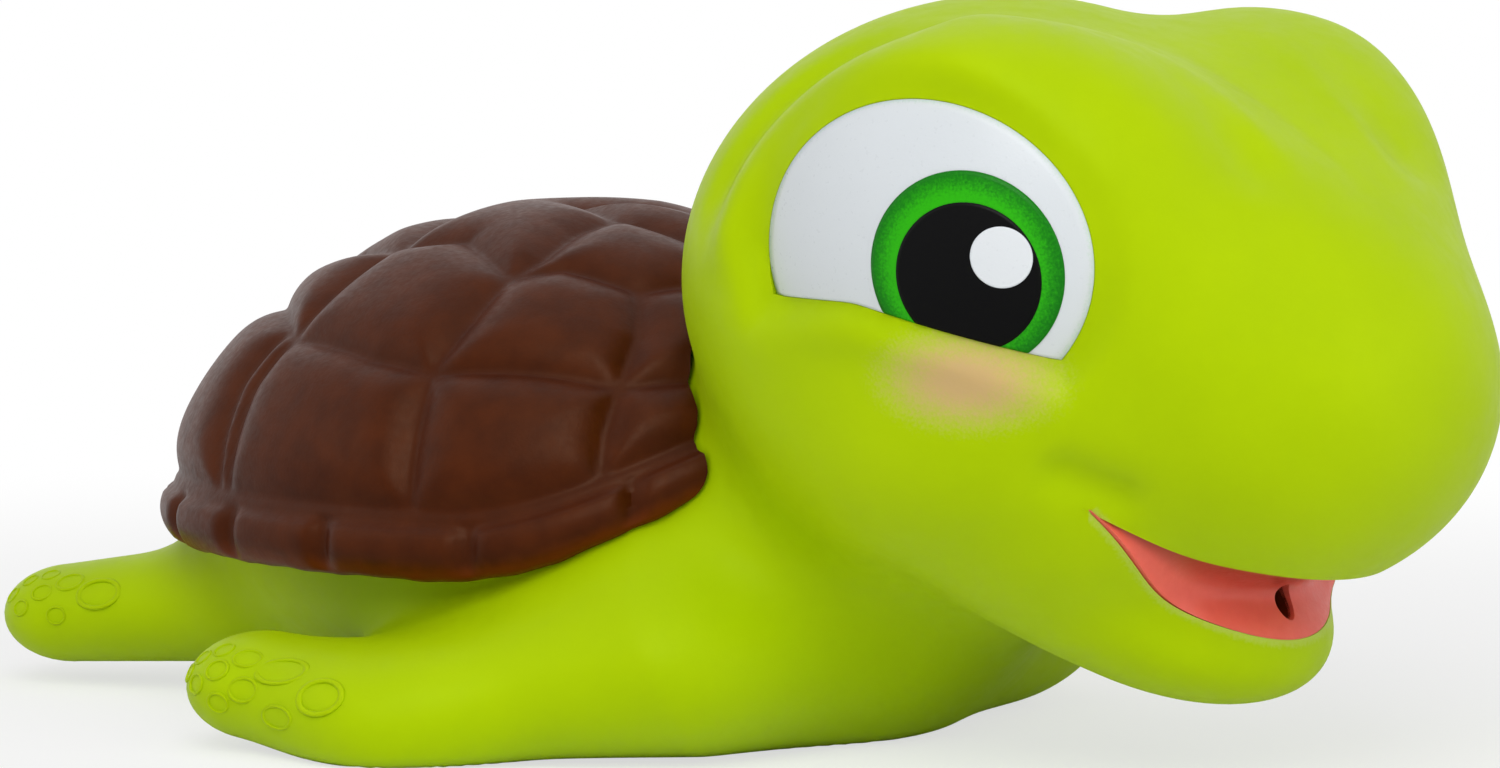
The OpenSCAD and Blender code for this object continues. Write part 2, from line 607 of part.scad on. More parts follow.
// Green vinyl skin: a hollow moulding with a flat belly, recesses for the eyes and the
// mouth, the squirt hole, and the collar that grips the squeaker
module body_moulding() {
    color("yellowgreen") as_one_mesh() difference() {
        grown(function(p) skin(p), skin_lo, skin_hi, cell);
        translate([skin_lo.x, skin_lo.y, skin_lo.z - overrun])
            cube([skin_hi.x - skin_lo.x, skin_hi.y - skin_lo.y, overrun - skin_lo.z]);
        mirrored() eye_recess();
        difference() {
            between_the_lips(0);
            mouth_core(mouth_depth);
        }
        difference() {
            grown(function(p) hollow(p), skin_lo, skin_hi, void_cell);
            at_squeaker() cylinder(d = collar_d, h = collar_top);
        }
        squirt_hole();
        at_squeaker() squeaker_seat();
    }
}
module at_squeaker() {
    translate([squeaker_x, 0, 0]) children();
}
// Stepped bore that the squeaker is pressed into
module squeaker_seat() {
    translate([0, 0, -overrun])
        cylinder(d = flange_d + 2 * fit, h = overrun + flange_top);
    cylinder(d = cup_d + fit, h = collar_top + overrun);
}

// White cup of the squeaker: flange, air hole, wall and barb
module squeaker_cup() {
    color("whitesmoke") at_squeaker() rotate_extrude()
        polygon([[air_d / 2, flange_lift], [flange_d / 2, flange_lift], [flange_d / 2, flange_top],
            [cup_d / 2, flange_top], [cup_d / 2, collar_top], [cup_d / 2 + barb, collar_top],
            [cup_d / 2, collar_top + 2 * barb], [cup_d / 2, cup_top],
            [cup_d / 2 - cup_wall, cup_top], [cup_d / 2 - cup_wall, flange_top],
            [air_d / 2, flange_top]]);
}

// Reed block: a post with a wind way up its middle and a slot in its flat
module reed_block() {
    color("ivory") at_squeaker() difference() {
        translate([0, 0, flange_top])
            cylinder(d = block_d, h = block_h);
        translate([0, 0, flange_top - overrun])
            cylinder(d = wind_d, h = overrun + block_h - cap_t);
        translate([flat_x, -block_d, flange_top - overrun])
            cube([block_d, 2 * block_d, block_h + 2 * overrun]);
        translate([0, -slot_w / 2, reed_root + clip_h + fit])
            cube([block_d, slot_w, reed_l - clip_h - 4 * fit]);
    }
}

// Reed: thin tongue that stands over the slot and springs away from it
module reed() {
    color("gold") at_squeaker() translate([flat_x + reed_gap, -reed_w / 2, reed_root])
        cube([reed_t, reed_w, reed_l]);
}

// Wedge that holds the reed's root against the block
module reed_clip() {
    color("gainsboro") at_squeaker() intersection() {
        translate([flat_x + reed_gap + reed_t + fit, -reed_w / 2 - fit, flange_top])
            cube([cup_bore, reed_w + 2 * fit, clip_h]);
        translate([0, 0, flange_top])
            cylinder(d = cup_bore, h = clip_h);
    }
}

// Cap that closes the cup inside the toy, with four air holes
module squeaker_cap() {
    color("gainsboro") at_squeaker() difference() {
        union() {
            translate([0, 0, cup_top])
                cylinder(d = cup_d, h = cap_t);
            translate([0, 0, cup_top - spigot_h])
                cylinder(d = cup_bore - 2 * fit, h = spigot_h);
        }
        translate([0, 0, cup_top - spigot_h - overrun])
            cylinder(d = cup_bore - 2 * fit - 2 * cap_t, h = spigot_h + overrun);
        for (a = [45:90:315]) rotate([0, 0, a])
            translate([cup_bore / 4, 0, cup_top - overrun])
                cylinder(d = vent_d, h = cap_t + 2 * overrun);
    }
}

body_moulding();
carapace();
mouth_coat();
eye_white_right();
eye_white_left();
iris_right();
iris_left();
pupil_right();
pupil_left();
glint_right();
glint_left();
squeaker_cup();
reed_block();
reed();
reed_clip();
squeaker_cap();
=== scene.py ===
"""Squeaky bath toy: the looks of a soft vinyl sea turtle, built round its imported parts.

Forms are worked out in millimetres in the frame of the parts, with +X towards the beak,
+Y to the turtle's left and +Z up, and written into the meshes in metres. Places of the
paired forms are given on the right side, where Y is negative.
"""

import logging
import math
from dataclasses import dataclass
from enum import Enum
from typing import Any, Callable, Sequence

import bpy
import numpy as np
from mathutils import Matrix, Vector

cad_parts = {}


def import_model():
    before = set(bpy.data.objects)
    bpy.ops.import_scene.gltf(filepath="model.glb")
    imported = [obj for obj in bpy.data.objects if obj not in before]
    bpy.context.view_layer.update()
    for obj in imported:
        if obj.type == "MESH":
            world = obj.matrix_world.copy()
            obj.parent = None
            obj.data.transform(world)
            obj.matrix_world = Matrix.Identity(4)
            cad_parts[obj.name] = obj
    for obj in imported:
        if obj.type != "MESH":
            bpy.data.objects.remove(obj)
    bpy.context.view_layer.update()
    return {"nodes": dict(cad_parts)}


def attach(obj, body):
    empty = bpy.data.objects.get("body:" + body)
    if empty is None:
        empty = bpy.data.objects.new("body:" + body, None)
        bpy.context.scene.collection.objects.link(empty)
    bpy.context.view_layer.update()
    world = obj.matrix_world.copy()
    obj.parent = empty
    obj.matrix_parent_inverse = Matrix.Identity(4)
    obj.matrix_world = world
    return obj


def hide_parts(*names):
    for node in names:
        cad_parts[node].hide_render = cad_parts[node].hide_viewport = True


Array = np.ndarray
Distance = Callable[[Array], Array]
Triple = tuple[float, float, float]
Pair = tuple[float, float]
Colour = tuple[float, float, float]

MM = 0.001
TOY = "toy"
SLOPE_STEP = 0.05  # millimetres to each side, where a slope is worked out
HALVINGS = 30
NO_LIP = 9.0  # stored as the way to the lip's edge by all that is far from it
log = logging.getLogger("bath_toy")


class Side(Enum):
    """The two sides of the turtle, by the sign that mirrors the right one."""

    RIGHT = 1
    LEFT = -1


class Slot(Enum):
    """The record's material slots."""

    SKIN = "green_vinyl"
    SHELL = "brown_vinyl"
    MOUTH = "pink_paint"
    WHITE = "white_print"
    IRIS = "green_print"
    PUPIL = "black_print"


# Distances and smooth blends


def joined(a: Array, b: Array, k: float) -> Array:
    """Smooth union of two distances over the blending distance k."""
    return np.minimum(a, b) - np.maximum(k - np.abs(a - b), 0) ** 2 / (4 * k)


def common(a: Array, b: Array, k: float) -> Array:
    """Smooth intersection of two distances over the blending distance k."""
    return -joined(-a, -b, k)


def folded(p: Array) -> Array:
    """Places moved to the right side, where every paired form is given."""
    return np.stack([p[..., 0], -np.abs(p[..., 1]), p[..., 2]], -1)


def smooth_step(x: Array) -> Array:
    """A smooth rise from 0 to 1 while x goes from 0 to 1."""
    t = np.clip(x, 0, 1)
    return t * t * (3 - 2 * t)


def to_segment(p: Array, a: Array, b: Array) -> tuple[Array, Array]:
    """Share of the way from a to b that lies nearest to each place, and how far off it is."""
    t = np.clip((p - a) @ (b - a) / ((b - a) @ (b - a)), 0, 1)
    return t, np.linalg.norm(p - a - t[..., None] * (b - a), axis=-1)


def slopes(distance: Distance, points: Array) -> Array:
    """The slope of a distance at each place: its way of growing, as long as its rate."""
    return np.stack([(distance(points + d) - distance(points - d)) / (2 * SLOPE_STEP)
                     for d in np.eye(3) * SLOPE_STEP], -1)


def last_inside(inside: Distance, shape: tuple[int, ...], low: float, high: float) -> Array:
    """The furthest values between two ends that a test finds inside, by halving.

    Args:
        inside: Tells which values of an array are inside.
        shape: The array's shape.
        low: The end that is inside.
        high: The end that is outside.

    Returns:
        The values.
    """
    near, far = np.full(shape, low), np.full(shape, high)
    for _ in range(HALVINGS):
        middle = (near + far) / 2
        found = inside(middle)
        near, far = np.where(found, middle, near), np.where(found, far, middle)
    return near


@dataclass(frozen=True)
class Oval:
    """An ellipsoid: whole size, centre, and its turn about Z and about Y in degrees."""

    size: Triple
    at: Triple
    yaw: float = 0.0
    pitch: float = 0.0

    def distance(self, q: Array) -> Array:
        """Near enough the distance from each place to the ellipsoid.

        Args:
            q: The places.

        Returns:
            The distances, less than 0 inside.
        """
        d = q - np.array(self.at)
        x, y, z = d[..., 0], d[..., 1], d[..., 2]
        c, s = math.cos(math.radians(self.yaw)), math.sin(math.radians(self.yaw))
        x, y = x * c + y * s, y * c - x * s
        c, s = math.cos(math.radians(self.pitch)), math.sin(math.radians(self.pitch))
        x, z = x * c - z * s, x * s + z * c
        u = [2 * x / self.size[0], 2 * y / self.size[1], 2 * z / self.size[2]]
        k0 = np.sqrt(sum(a * a for a in u))
        k1 = np.sqrt(sum((2 * a / b) ** 2 for a, b in zip(u, self.size)))
        return k0 * (k0 - 1) / np.maximum(k1, 1e-9)


@dataclass(frozen=True)
class Limb:
    """A tapered round limb from one place to another, flattened by a factor."""

    start: Triple
    end: Triple
    widths: Pair
    flat: float = 1.0

    def distance(self, q: Array) -> Array:
        """Near enough the distance from each place to the limb.

        Args:
            q: The places.

        Returns:
            The distances, less than 0 inside.
        """
        f = np.array([1, 1, self.flat])
        a, b, p = np.array(self.start) * f, np.array(self.end) * f, q * f
        t, away = to_segment(p, a, b)
        wide = self.widths[0] + (self.widths[1] - self.widths[0]) * t
        return (away - wide / 2) / math.sqrt(self.flat)


@dataclass(frozen=True)
class EyeForm:
    """Where the right eye lies, and the outlines printed on its ball."""

    yaw: float = 11.0
    at: Triple = (35.6, -25.4, 38.8)
    middle: Pair = (-0.8, -1.9)
    size: Pair = (25.0, 21.4)
    ball: Triple = (38.8, 30.4, 38.2)
    lid_drop: float = 4.9
    lid_fall: float = 0.248
    lid_from: float = 5.2
    lid_ease: float = 0.8
    iris_r: float = 6.7
    iris_at: Pair = (3.3, -2.5)
    pupil_r: float = 5.0
    pupil_at: Pair = (3.6, -2.9)
    glint_r: float = 2.05
    glint_at: Pair = (6.1, -1.5)

    @property
    def along(self) -> Array:
        """The way along the eye towards the beak."""
        return np.array([math.cos(math.radians(self.yaw)), math.sin(math.radians(self.yaw)), 0])

    @property
    def out(self) -> Array:
        """The way straight out of the eye."""
        return np.array([math.sin(math.radians(self.yaw)), -math.cos(math.radians(self.yaw)), 0])

    @property
    def ball_form(self) -> Oval:
        """The ball under the eye."""
        centre = np.array(self.at) - self.ball[1] / 2 * self.out
        return Oval(self.ball, tuple(centre), yaw=self.yaw)

    def across(self, q: Array) -> tuple[Array, Array]:
        """How far each place lies along the eye and above its middle."""
        d = q - np.array(self.at)
        return d @ self.along, d[..., 2]

    def lid(self, s: Array) -> Array:
        """Height of the lower lid at a place along the eye."""
        ahead = s + self.lid_from
        return -self.lid_drop - self.lid_fall * (ahead + np.hypot(ahead, self.lid_ease)) / 2

    def outline(self, s: Array, t: Array, at: Pair, size: Pair, gap: float = 0.0) -> Array:
        """Signed size of the part of an oval that lies above the lower lid."""
        reach = np.hypot(2 * (s - at[0]) / size[0], 2 * (t - at[1]) / size[1])
        return np.maximum((reach - 1) * min(size) / 2, self.lid(s) + gap - t)

    def place(self, s: Array, t: Array, lift: float) -> Array:
        """Places on the ball, moved out from it.

        Args:
            s: How far along the eye each one is.
            t: How far above the eye's middle it is.
            lift: How far it is moved out.

        Returns:
            The places.
        """
        level = np.sqrt(1 - (2 * s / self.ball[0]) ** 2 - (2 * t / self.ball[2]) ** 2)
        out = self.ball[1] / 2 * (level - 1) + lift
        ways = ((s, self.along), (t, np.array([0, 0, 1])), (out, self.out))
        return np.array(self.at) + sum(reach[..., None] * way for reach, way in ways)


@dataclass(frozen=True)
class Fold:
    """A soft groove or ridge of the skin round the right eye.

    Args:
        depth: How deep the groove is, or less than 0 for a ridge.
        off: How far it lies off the eye's outline.
        wide: How wide it is.
        along: Where it begins along the eye, and over what length.
        up: Where it begins above the eye's middle, and over what height.
        lid: 1 for under the lower lid's line, -1 for over it, 0 for both.
    """

    depth: float
    off: float
    wide: float
    along: tuple[Pair, ...]
    up: tuple[Pair, ...] = ()
    lid: int = 0

    def sunk(self, edge: Array, s: Array, t: Array, under: Array) -> Array:
        """How deep the skin is sunk.

        Args:
            edge: Way from each place to the eye's outline.
            s: How far along the eye it is.
            t: How far above the eye's middle it is.
            under: How much it is under the lower lid's line, from 0 to 1.

        Returns:
            The depth at each place.
        """
        share = {-1: 1 - under, 0: 1.0, 1: under}[self.lid]
        for value, bounds in ((s, self.along), (t, self.up)):
            for start, length in bounds:
                share = share * smooth_step((value - start) / length)
        return self.depth * share * np.exp(-((edge - self.off) / self.wide) ** 2)


@dataclass(frozen=True)
class MouthForm:
    """The open smile: heights of the lips and how deep the pink lies behind them."""

    lip_z: float = 10.2
    gap: float = 4.6
    half: float = 18.0
    corner_z: float = 20.5
    back: float = 30.0
    front: float = 62.0
    ends: float = 0.985
    shallow: float = 0.22
    deep: float = 1.3
    deepening: Pair = (0.1, 0.85)
    fullness: float = 0.8
    thinning: float = 0.8

    def low(self, q: Array) -> Array:
        """Height of the lower lip."""
        return self.lip_z + (self.corner_z - self.lip_z) * (q[..., 1] / self.half) ** 2

    def high(self, q: Array) -> Array:
        """Height of the upper lip."""
        rise = self.corner_z - self.lip_z - self.gap
        return self.lip_z + self.gap + rise * (q[..., 1] / self.half) ** 2

    def depth(self, aside: Array, share: Array) -> Array:
        """How deep the recess is: least at the lower lip and at the corners.

        Args:
            aside: How far aside each place is.
            share: Its share of the way from the lower lip to the upper one.

        Returns:
            The depths.
        """
        start, growth = self.deepening
        full = self.shallow + self.deep * smooth_step(share * growth + start) ** self.fullness
        return full * (1 - self.thinning * (aside / self.half) ** 2)

    def floor(self, whole: Distance, aside: Array, share: Array, lift: float) -> Array:
        """Places on the recess's floor, moved out by a lift.

        Args:
            whole: Distance to the skin that the recess lies in.
            aside: How far aside each place is.
            share: Its share of the way from the lower lip to the upper one.
            lift: How far it is moved out.

        Returns:
            The places.
        """
        q = np.stack([0 * aside, aside, 0 * aside], -1)
        q[..., 2] = self.low(q) + share * (self.high(q) - self.low(q))

        def behind(x: Array) -> Array:
            """Which places lie behind the floor when they are this far ahead."""
            q[..., 0] = x
            return whole(q) + self.depth(aside, share) - lift < 0

        q[..., 0] = last_inside(behind, aside.shape, self.back, self.front)
        return q


@dataclass(frozen=True)
class TurtleForm:
    """The green skin's form as one distance, with the forms that it is blended from.

    Each blend is the length in millimetres over which two forms run into one another.
    """

    skull: Oval = Oval((42.6, 51, 39.8), (23.9, 0, 34.2))
    brow: Oval = Oval((28, 20.8, 23.6), (36, -15.4, 41.4), yaw=28)
    beak: Oval = Oval((40, 37, 32), (42.5, 0, 28.8), pitch=14)
    cheek: Oval = Oval((27.6, 23, 16.6), (30, -12.5, 23.5))
    jaw: Oval = Oval((32.6, 27, 14), (34.6, 0, 14.8), pitch=26)
    smile: Oval = Oval((18, 16, 13), (36.5, -10.5, 18.5))
    trunk_form: Oval = Oval((68.4, 50, 27.6), (-14.5, 0, 12.8))
    chest: Oval = Oval((33, 38, 23.8), (2.2, 0, 10))
    neck: Limb = Limb((0, 0, 10), (17, 0, 19), (26, 25))
    upper_arm: Limb = Limb((7, -18.5, 7), (-7.5, -30.3, 2.8), (20, 11.6), 1.45)
    lower_arm: Limb = Limb((-7.5, -30.3, 2.8), (-18, -32.8, 4.4), (11.6, 11.4), 1.45)
    leg: Limb = Limb((-40.5, -13, 6.8), (-53.7, -17.9, 5.3), (13.4, 11), 1.45)
    dimple: Limb = Limb((46.4, -17.4, 21.2), (43.9, -20.0, 22.5), (0.5, 0.9))
    brow_blend: float = 6.0
    beak_blend: float = 12.0
    cheek_blend: float = 8.0
    smile_blend: float = 5.0
    jaw_blend: float = 3.0
    neck_blend: float = 10.0
    chest_blend: float = 8.0
    elbow_blend: float = 6.0
    shoulder_blend: float = 7.0
    hip_blend: float = 6.0
    nape_blend: float = 7.0
    shell_blend: float = 3.0
    belly_z: float = -0.3
    belly_blend: float = 1.5
    pinch: float = 1.9
    pinch_w: float = 0.9
    roll: float = 1.5
    roll_w: float = 1.6
    roll_from: float = 0.05
    near_eye: Pair = (-17.0, 5.0)
    lid_w: float = 1.2
    folds: tuple[Fold, ...] = (
        Fold(1.1, 5.2, 1.2, along=((0, -7),), up=((-3, 6),)),  # groove behind the eye
        Fold(1.3, 7.2, 1.5, along=((-2, 6),), up=((1, 5),)),  # groove over its fore end
        Fold(-0.7, 3.2, 1.5, along=((11, -10),), up=((-5, 5),), lid=-1),  # hood
        Fold(-0.5, 1.7, 1.5, along=((-13, 7), (10, -6)), lid=1),  # under the lower lid
    )
    dome: Oval = Oval((69.6, 61.2, 50), (-15.6, 0, 13.4))
    dome_inset: float = 3.3
    rim_z: float = 12.7
    rim_rise_x: float = -5.5
    rim_rise: float = 15.4
    shell_t: float = 1.8
    eye: EyeForm = EyeForm()
    mouth: MouthForm = MouthForm()

    def upper_head(self, q: Array) -> Array:
        """Skull, brows, beak and cheeks."""
        head = joined(self.skull.distance(q), self.brow.distance(q), self.brow_blend)
        head = joined(head, self.beak.distance(q), self.beak_blend)
        return joined(head, self.cheek.distance(q), self.cheek_blend)

    def head(self, q: Array) -> Array:
        """The head with its lower jaw."""
        jaw = joined(self.jaw.distance(q), self.smile.distance(q), self.smile_blend)
        return joined(self.upper_head(q), jaw, self.jaw_blend)

    def trunk(self, q: Array) -> Array:
        """Trunk, neck, chest and the four flippers."""
        body = joined(self.trunk_form.distance(q), self.neck.distance(q), self.neck_blend)
        body = joined(body, self.chest.distance(q), self.chest_blend)
        arm = joined(self.upper_arm.distance(q), self.lower_arm.distance(q), self.elbow_blend)
        body = joined(body, arm, self.shoulder_blend)
        return joined(body, self.leg.distance(q), self.hip_blend)

    def rim_height(self, x: Array) -> Array:
        """Height of the shell's lower edge."""
        ahead = self.dome.at[0] + self.dome.size[0] / 2 - self.rim_rise_x
        return self.rim_z + self.rim_rise * (np.maximum(x - self.rim_rise_x, 0) / ahead) ** 2

    def back(self, q: Array) -> Array:
        """The back that fills the shell."""
        under = self.rim_height(q[..., 0]) + self.shell_t - q[..., 2]
        return common(self.dome.distance(q) + self.dome_inset, under, self.shell_blend)

    def whole(self, p: Array) -> Array:
        """The skin with the recesses of the eyes and the mouth left filled."""
        q = folded(p)
        body = joined(self.trunk(q), self.head(q), self.nape_blend)
        body = joined(body, self.back(q), self.shell_blend)
        return common(body, self.belly_z - q[..., 2], self.belly_blend)

    def modelled(self, p: Array) -> Array:
        """The visible skin before its recesses are cut, with its soft modelled forms.

        Args:
            p: The places, on either side.

        Returns:
            The distances, less than 0 inside.
        """
        q = folded(p)
        s, t = self.eye.across(q)
        out = (q - np.array(self.eye.at)) @ self.eye.out
        near = smooth_step((out - self.near_eye[0]) / self.near_eye[1])
        edge = np.maximum(self.eye.outline(s, t, self.eye.middle, self.eye.size), 0)
        d = self.whole(p)
        sunk = np.clip(self.eye.ball_form.distance(q) - d - self.roll_from, 0, self.roll)
        sunk = sunk * np.exp(-(edge / self.roll_w) ** 2)
        under = smooth_step((self.eye.lid(s) - t) / self.lid_w)
        for fold in self.folds:
            sunk = sunk + fold.sunk(edge, s, t, under)
        corner = np.exp(-np.maximum(self.dimple.distance(q), 0) / self.pinch_w)
        return np.maximum(d + near * sunk + self.pinch * corner, -q[..., 2])


# Meshes


def surface_net(distance: Distance, low: Triple, high: Triple, cell: float) -> tuple[Array, Array]:
    """Closed mesh of four-sided faces where a distance is zero.

    Args:
        distance: Signed distance at places in millimetres, negative inside.
        low: Lowest corner of the grid of cells.
        high: Highest corner of the grid.
        cell: Size of a cell.

    Returns:
        Corner places, and four corner numbers for each face, facing outwards.
    """
    counts = [int(math.ceil((h - l) / cell)) for l, h in zip(low, high)]
    axes = [l + cell * np.arange(n + 1) for l, n in zip(low, counts)]
    slabs = (np.stack(np.meshgrid([x], axes[1], axes[2], indexing="ij"), -1) for x in axes[0])
    v = np.concatenate([distance(slab) for slab in slabs], 0)
    for a in range(3):
        edge = [slice(None)] * 3
        for end in (0, -1):
            edge[a] = end
            v[tuple(edge)] = cell
    inside = v < 0

    def moved(step: Sequence[int]) -> Array:
        """Whether the corner at this step from each cell's first one is inside."""
        return inside[tuple(slice(s, s + n) for s, n in zip(step, counts))]

    corner = [(i, j, k) for i in (0, 1) for j in (0, 1) for k in (0, 1)]
    total = sum(moved(c).astype(np.int8) for c in corner)
    cells = np.argwhere((total > 0) & (total < 8))
    value = np.stack([v[tuple((cells + c).T)] for c in corner], -1)
    sums, hits = np.zeros((len(cells), 3)), np.zeros(len(cells))
    for a, ca in enumerate(corner):
        for b, cb in enumerate(corner):
            if b > a and sum(abs(x - y) for x, y in zip(ca, cb)) == 1:
                cross = (value[:, a] < 0) != (value[:, b] < 0)
                t = np.where(cross, value[:, a] / np.where(cross, value[:, a] - value[:, b], 1), 0)
                sums += cross[:, None] * (np.array(ca) + t[:, None] * (np.array(cb) - np.array(ca)))
                hits += cross
    points = np.array(low) + cell * (cells + sums / hits[:, None])
    number = np.full(counts, -1, np.int64)
    number[tuple(cells.T)] = np.arange(len(cells))
    faces = []
    for a in range(3):
        b, c = (a + 1) % 3, (a + 2) % 3
        da, db, dc = np.eye(3, dtype=int)[[a, b, c]]
        first = moved((0, 0, 0))
        at = np.argwhere(first != moved(da))
        at = at[(at[:, b] > 0) & (at[:, c] > 0)]
        ring = [at, at - db, at - db - dc, at - dc]
        quad = np.stack([number[tuple(r.T)] for r in ring], -1)
        out = first[tuple(at.T)]
        quad[~out] = quad[~out][:, ::-1]
        faces.append(quad)
    return points, np.concatenate(faces)


def settled(points: Array, distance: Distance, cell: float) -> Array:
    """Points moved onto the surface itself in two steps, each at most a third of a cell.

    Args:
        points: The points of a surface net.
        distance: The distance that is zero on the surface.
        cell: The net's cell.

    Returns:
        The moved points.
    """
    least_slope = 0.2
    for _ in range(2):
        slope = slopes(distance, points)
        steep = np.maximum((slope ** 2).sum(-1), least_slope)
        away = distance(points)[:, None] * slope / steep[:, None]
        points = points - np.clip(away, -cell / 3, cell / 3)
    return points


def mesh_object(name: str, points: Array, faces: Sequence[Sequence[int]]) -> bpy.types.Object:
    """A smoothly shaded mesh linked to the scene, from places in millimetres.

    Args:
        name: The object's name.
        points: Corner places in millimetres.
        faces: Corner numbers of each face, facing outwards.

    Returns:
        The new object.
    """
    mesh = bpy.data.meshes.new(name)
    mesh.from_pydata((np.asarray(points) * MM).tolist(), [], [list(f) for f in faces])
    mesh.polygons.foreach_set("use_smooth", [True] * len(mesh.polygons))
    mesh.update()
    thing = bpy.data.objects.new(name, mesh)
    bpy.context.scene.collection.objects.link(thing)
    return thing


def new_piece(name: str, points: Array, faces: Sequence[Sequence[int]], slot: Slot,
              material: bpy.types.Material) -> bpy.types.Object:
    """A piece of the toy at the origin, from places in millimetres.

    Args:
        name: The piece's name.
        points: Corner places in millimetres.
        faces: Corner numbers of each face, facing outwards.
        slot: The record's slot for the piece; not used.
        material: Its finish.

    Returns:
        The new object, linked to the scene.
    """
    piece = mesh_object(name, points, faces)
    piece.data.materials.append(material)
    return piece


def settle_on(piece: bpy.types.Object, body: str, *nodes: str) -> None:
    """Lets a piece ride on a body and stand for CAD nodes, and reports it.

    Args:
        piece: The finished piece.
        body: The body that carries it.
        *nodes: The nodes that it is shown in place of.
    """
    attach(piece, body)
    if nodes:
        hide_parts(*nodes)
    count = len(piece.data.polygons)
    log.info("%s: %d faces, for %s", piece.name, count, ", ".join(nodes) or "nothing")


def keep_value(mesh: bpy.types.Mesh, name: str, values: Array) -> None:
    """Stores one number for each corner point of a mesh."""
    mesh.attributes.new(name, "FLOAT", "POINT").data.foreach_set("value", values.astype(np.float32))


def ring_faces(rings: int, around: int) -> list[list[int]]:
    """Faces of a closed skin over rings of points, with one point before and one after.

    Args:
        rings: Number of rings.
        around: Number of points in each ring.

    Returns:
        Corner numbers of each face.
    """
    i = np.arange(around)
    j = (i + 1) % around
    body = [np.stack([1 + k * around + i, 1 + (k + 1) * around + i, 1 + (k + 1) * around + j,
                      1 + k * around + j], -1) for k in range(rings - 1)]
    last = 1 + (rings - 1) * around
    first = [[0, 1 + a, 1 + b] for a, b in zip(i, j)]
    end = [[last + around, last + b, last + a] for a, b in zip(i, j)]
    return np.concatenate(body).tolist() + first + end


def shell_faces(rows: int, columns: int) -> list[list[int]]:
    """Faces of a closed slab of two grids of points, the outer one first.

    Args:
        rows: Number of rows of each grid.
        columns: Number of points in each row.

    Returns:
        Corner numbers of each face, with the outer grid's faces to the outside.
    """
    index = np.arange(rows * columns).reshape(rows, columns)
    a, b, c, d = index[:-1, :-1], index[:-1, 1:], index[1:, 1:], index[1:, :-1]
    outer = np.stack([a, b, c, d], -1).reshape(-1, 4)
    inner = outer[:, ::-1] + rows * columns
    rim = np.concatenate([index[0, :-1], index[:-1, -1], index[-1, :0:-1], index[:0:-1, 0]])
    after = np.roll(rim, -1)
    sides = np.stack([after, rim, rim + rows * columns, after + rows * columns], -1)
    return np.concatenate([outer, inner, sides]).tolist()


def turned_form(profile: Sequence[Pair], around: int) -> tuple[Array, list[list[int]]]:
    """A closed form turned about Z.

    Args:
        profile: Radius and height of each ring, from the lowest to the highest.
        around: Number of points round each ring.

    Returns:
        Corner places, and the corner numbers of each face.
    """
    way = 2 * np.pi * np.arange(around) / around
    level = np.ones(around)
    rings = [np.stack([r * np.cos(way), r * np.sin(way), z * level], -1) for r, z in profile]
    first, last = ([[0, 0, profile[end][1]]] for end in (0, -1))
    faces = [face[::-1] for face in ring_faces(len(profile), around)]
    return np.concatenate([first, *rings, last]), faces


def apply_modifier(piece: bpy.types.Object, modifier: bpy.types.Modifier) -> None:
    """Gives a piece the mesh that its modifier makes, and takes the modifier off.

    Args:
        piece: The piece.
        modifier: Its only modifier.
    """
    bpy.context.view_layer.update()
    shown = piece.evaluated_get(bpy.context.evaluated_depsgraph_get())
    result = bpy.data.meshes.new_from_object(shown)
    piece.modifiers.remove(modifier)
    piece.data = result


def cut_away(piece: bpy.types.Object, points: Array, faces: Sequence[Sequence[int]]) -> None:
    """Cuts a closed piece by another closed mesh.

    Args:
        piece: The piece that is cut.
        points: The cutter's corner places in millimetres.
        faces: The cutter's faces.
    """
    cutter = mesh_object("cutter", points, faces)
    mesh = cutter.data
    modifier = piece.modifiers.new("cut", "BOOLEAN")
    modifier.operation, modifier.solver, modifier.object = "DIFFERENCE", "MANIFOLD", cutter
    apply_modifier(piece, modifier)
    bpy.data.objects.remove(cutter)
    bpy.data.meshes.remove(mesh)


def places_of(mesh: bpy.types.Mesh) -> Array:
    """A mesh's corner places in millimetres.

    Args:
        mesh: The mesh.

    Returns:
        The places.
    """
    values = np.zeros(len(mesh.vertices) * 3)
    mesh.vertices.foreach_get("co", values)
    return values.reshape(-1, 3) / MM


# Finishes


def linear(colour: Colour) -> tuple[float, float, float, float]:
    """A colour given as it looks on a screen, from 0 to 255, as the shaders need it."""
    parts = [c / 255 for c in colour]
    return (*[p / 12.92 if p <= 0.04045 else ((p + 0.055) / 1.055) ** 2.4 for p in parts], 1.0)


def add_node(tree: bpy.types.NodeTree, kind: str, inputs: dict[Any, Any] | None = None,
             **settings: Any) -> bpy.types.Node:
    """Adds a node, sets its properties, and links or sets its inputs.

    Args:
        tree: The tree that it is added to.
        kind: Its type.
        inputs: A socket to link or a value to set for each input, by name or number.
        **settings: Its properties.

    Returns:
        The new node.
    """
    node = tree.nodes.new(kind)
    for name, value in settings.items():
        setattr(node, name, value)
    for name, value in (inputs or {}).items():
        if isinstance(value, bpy.types.NodeSocket):
            tree.links.new(value, node.inputs[name])
        else:
            node.inputs[name].default_value = value
    return node


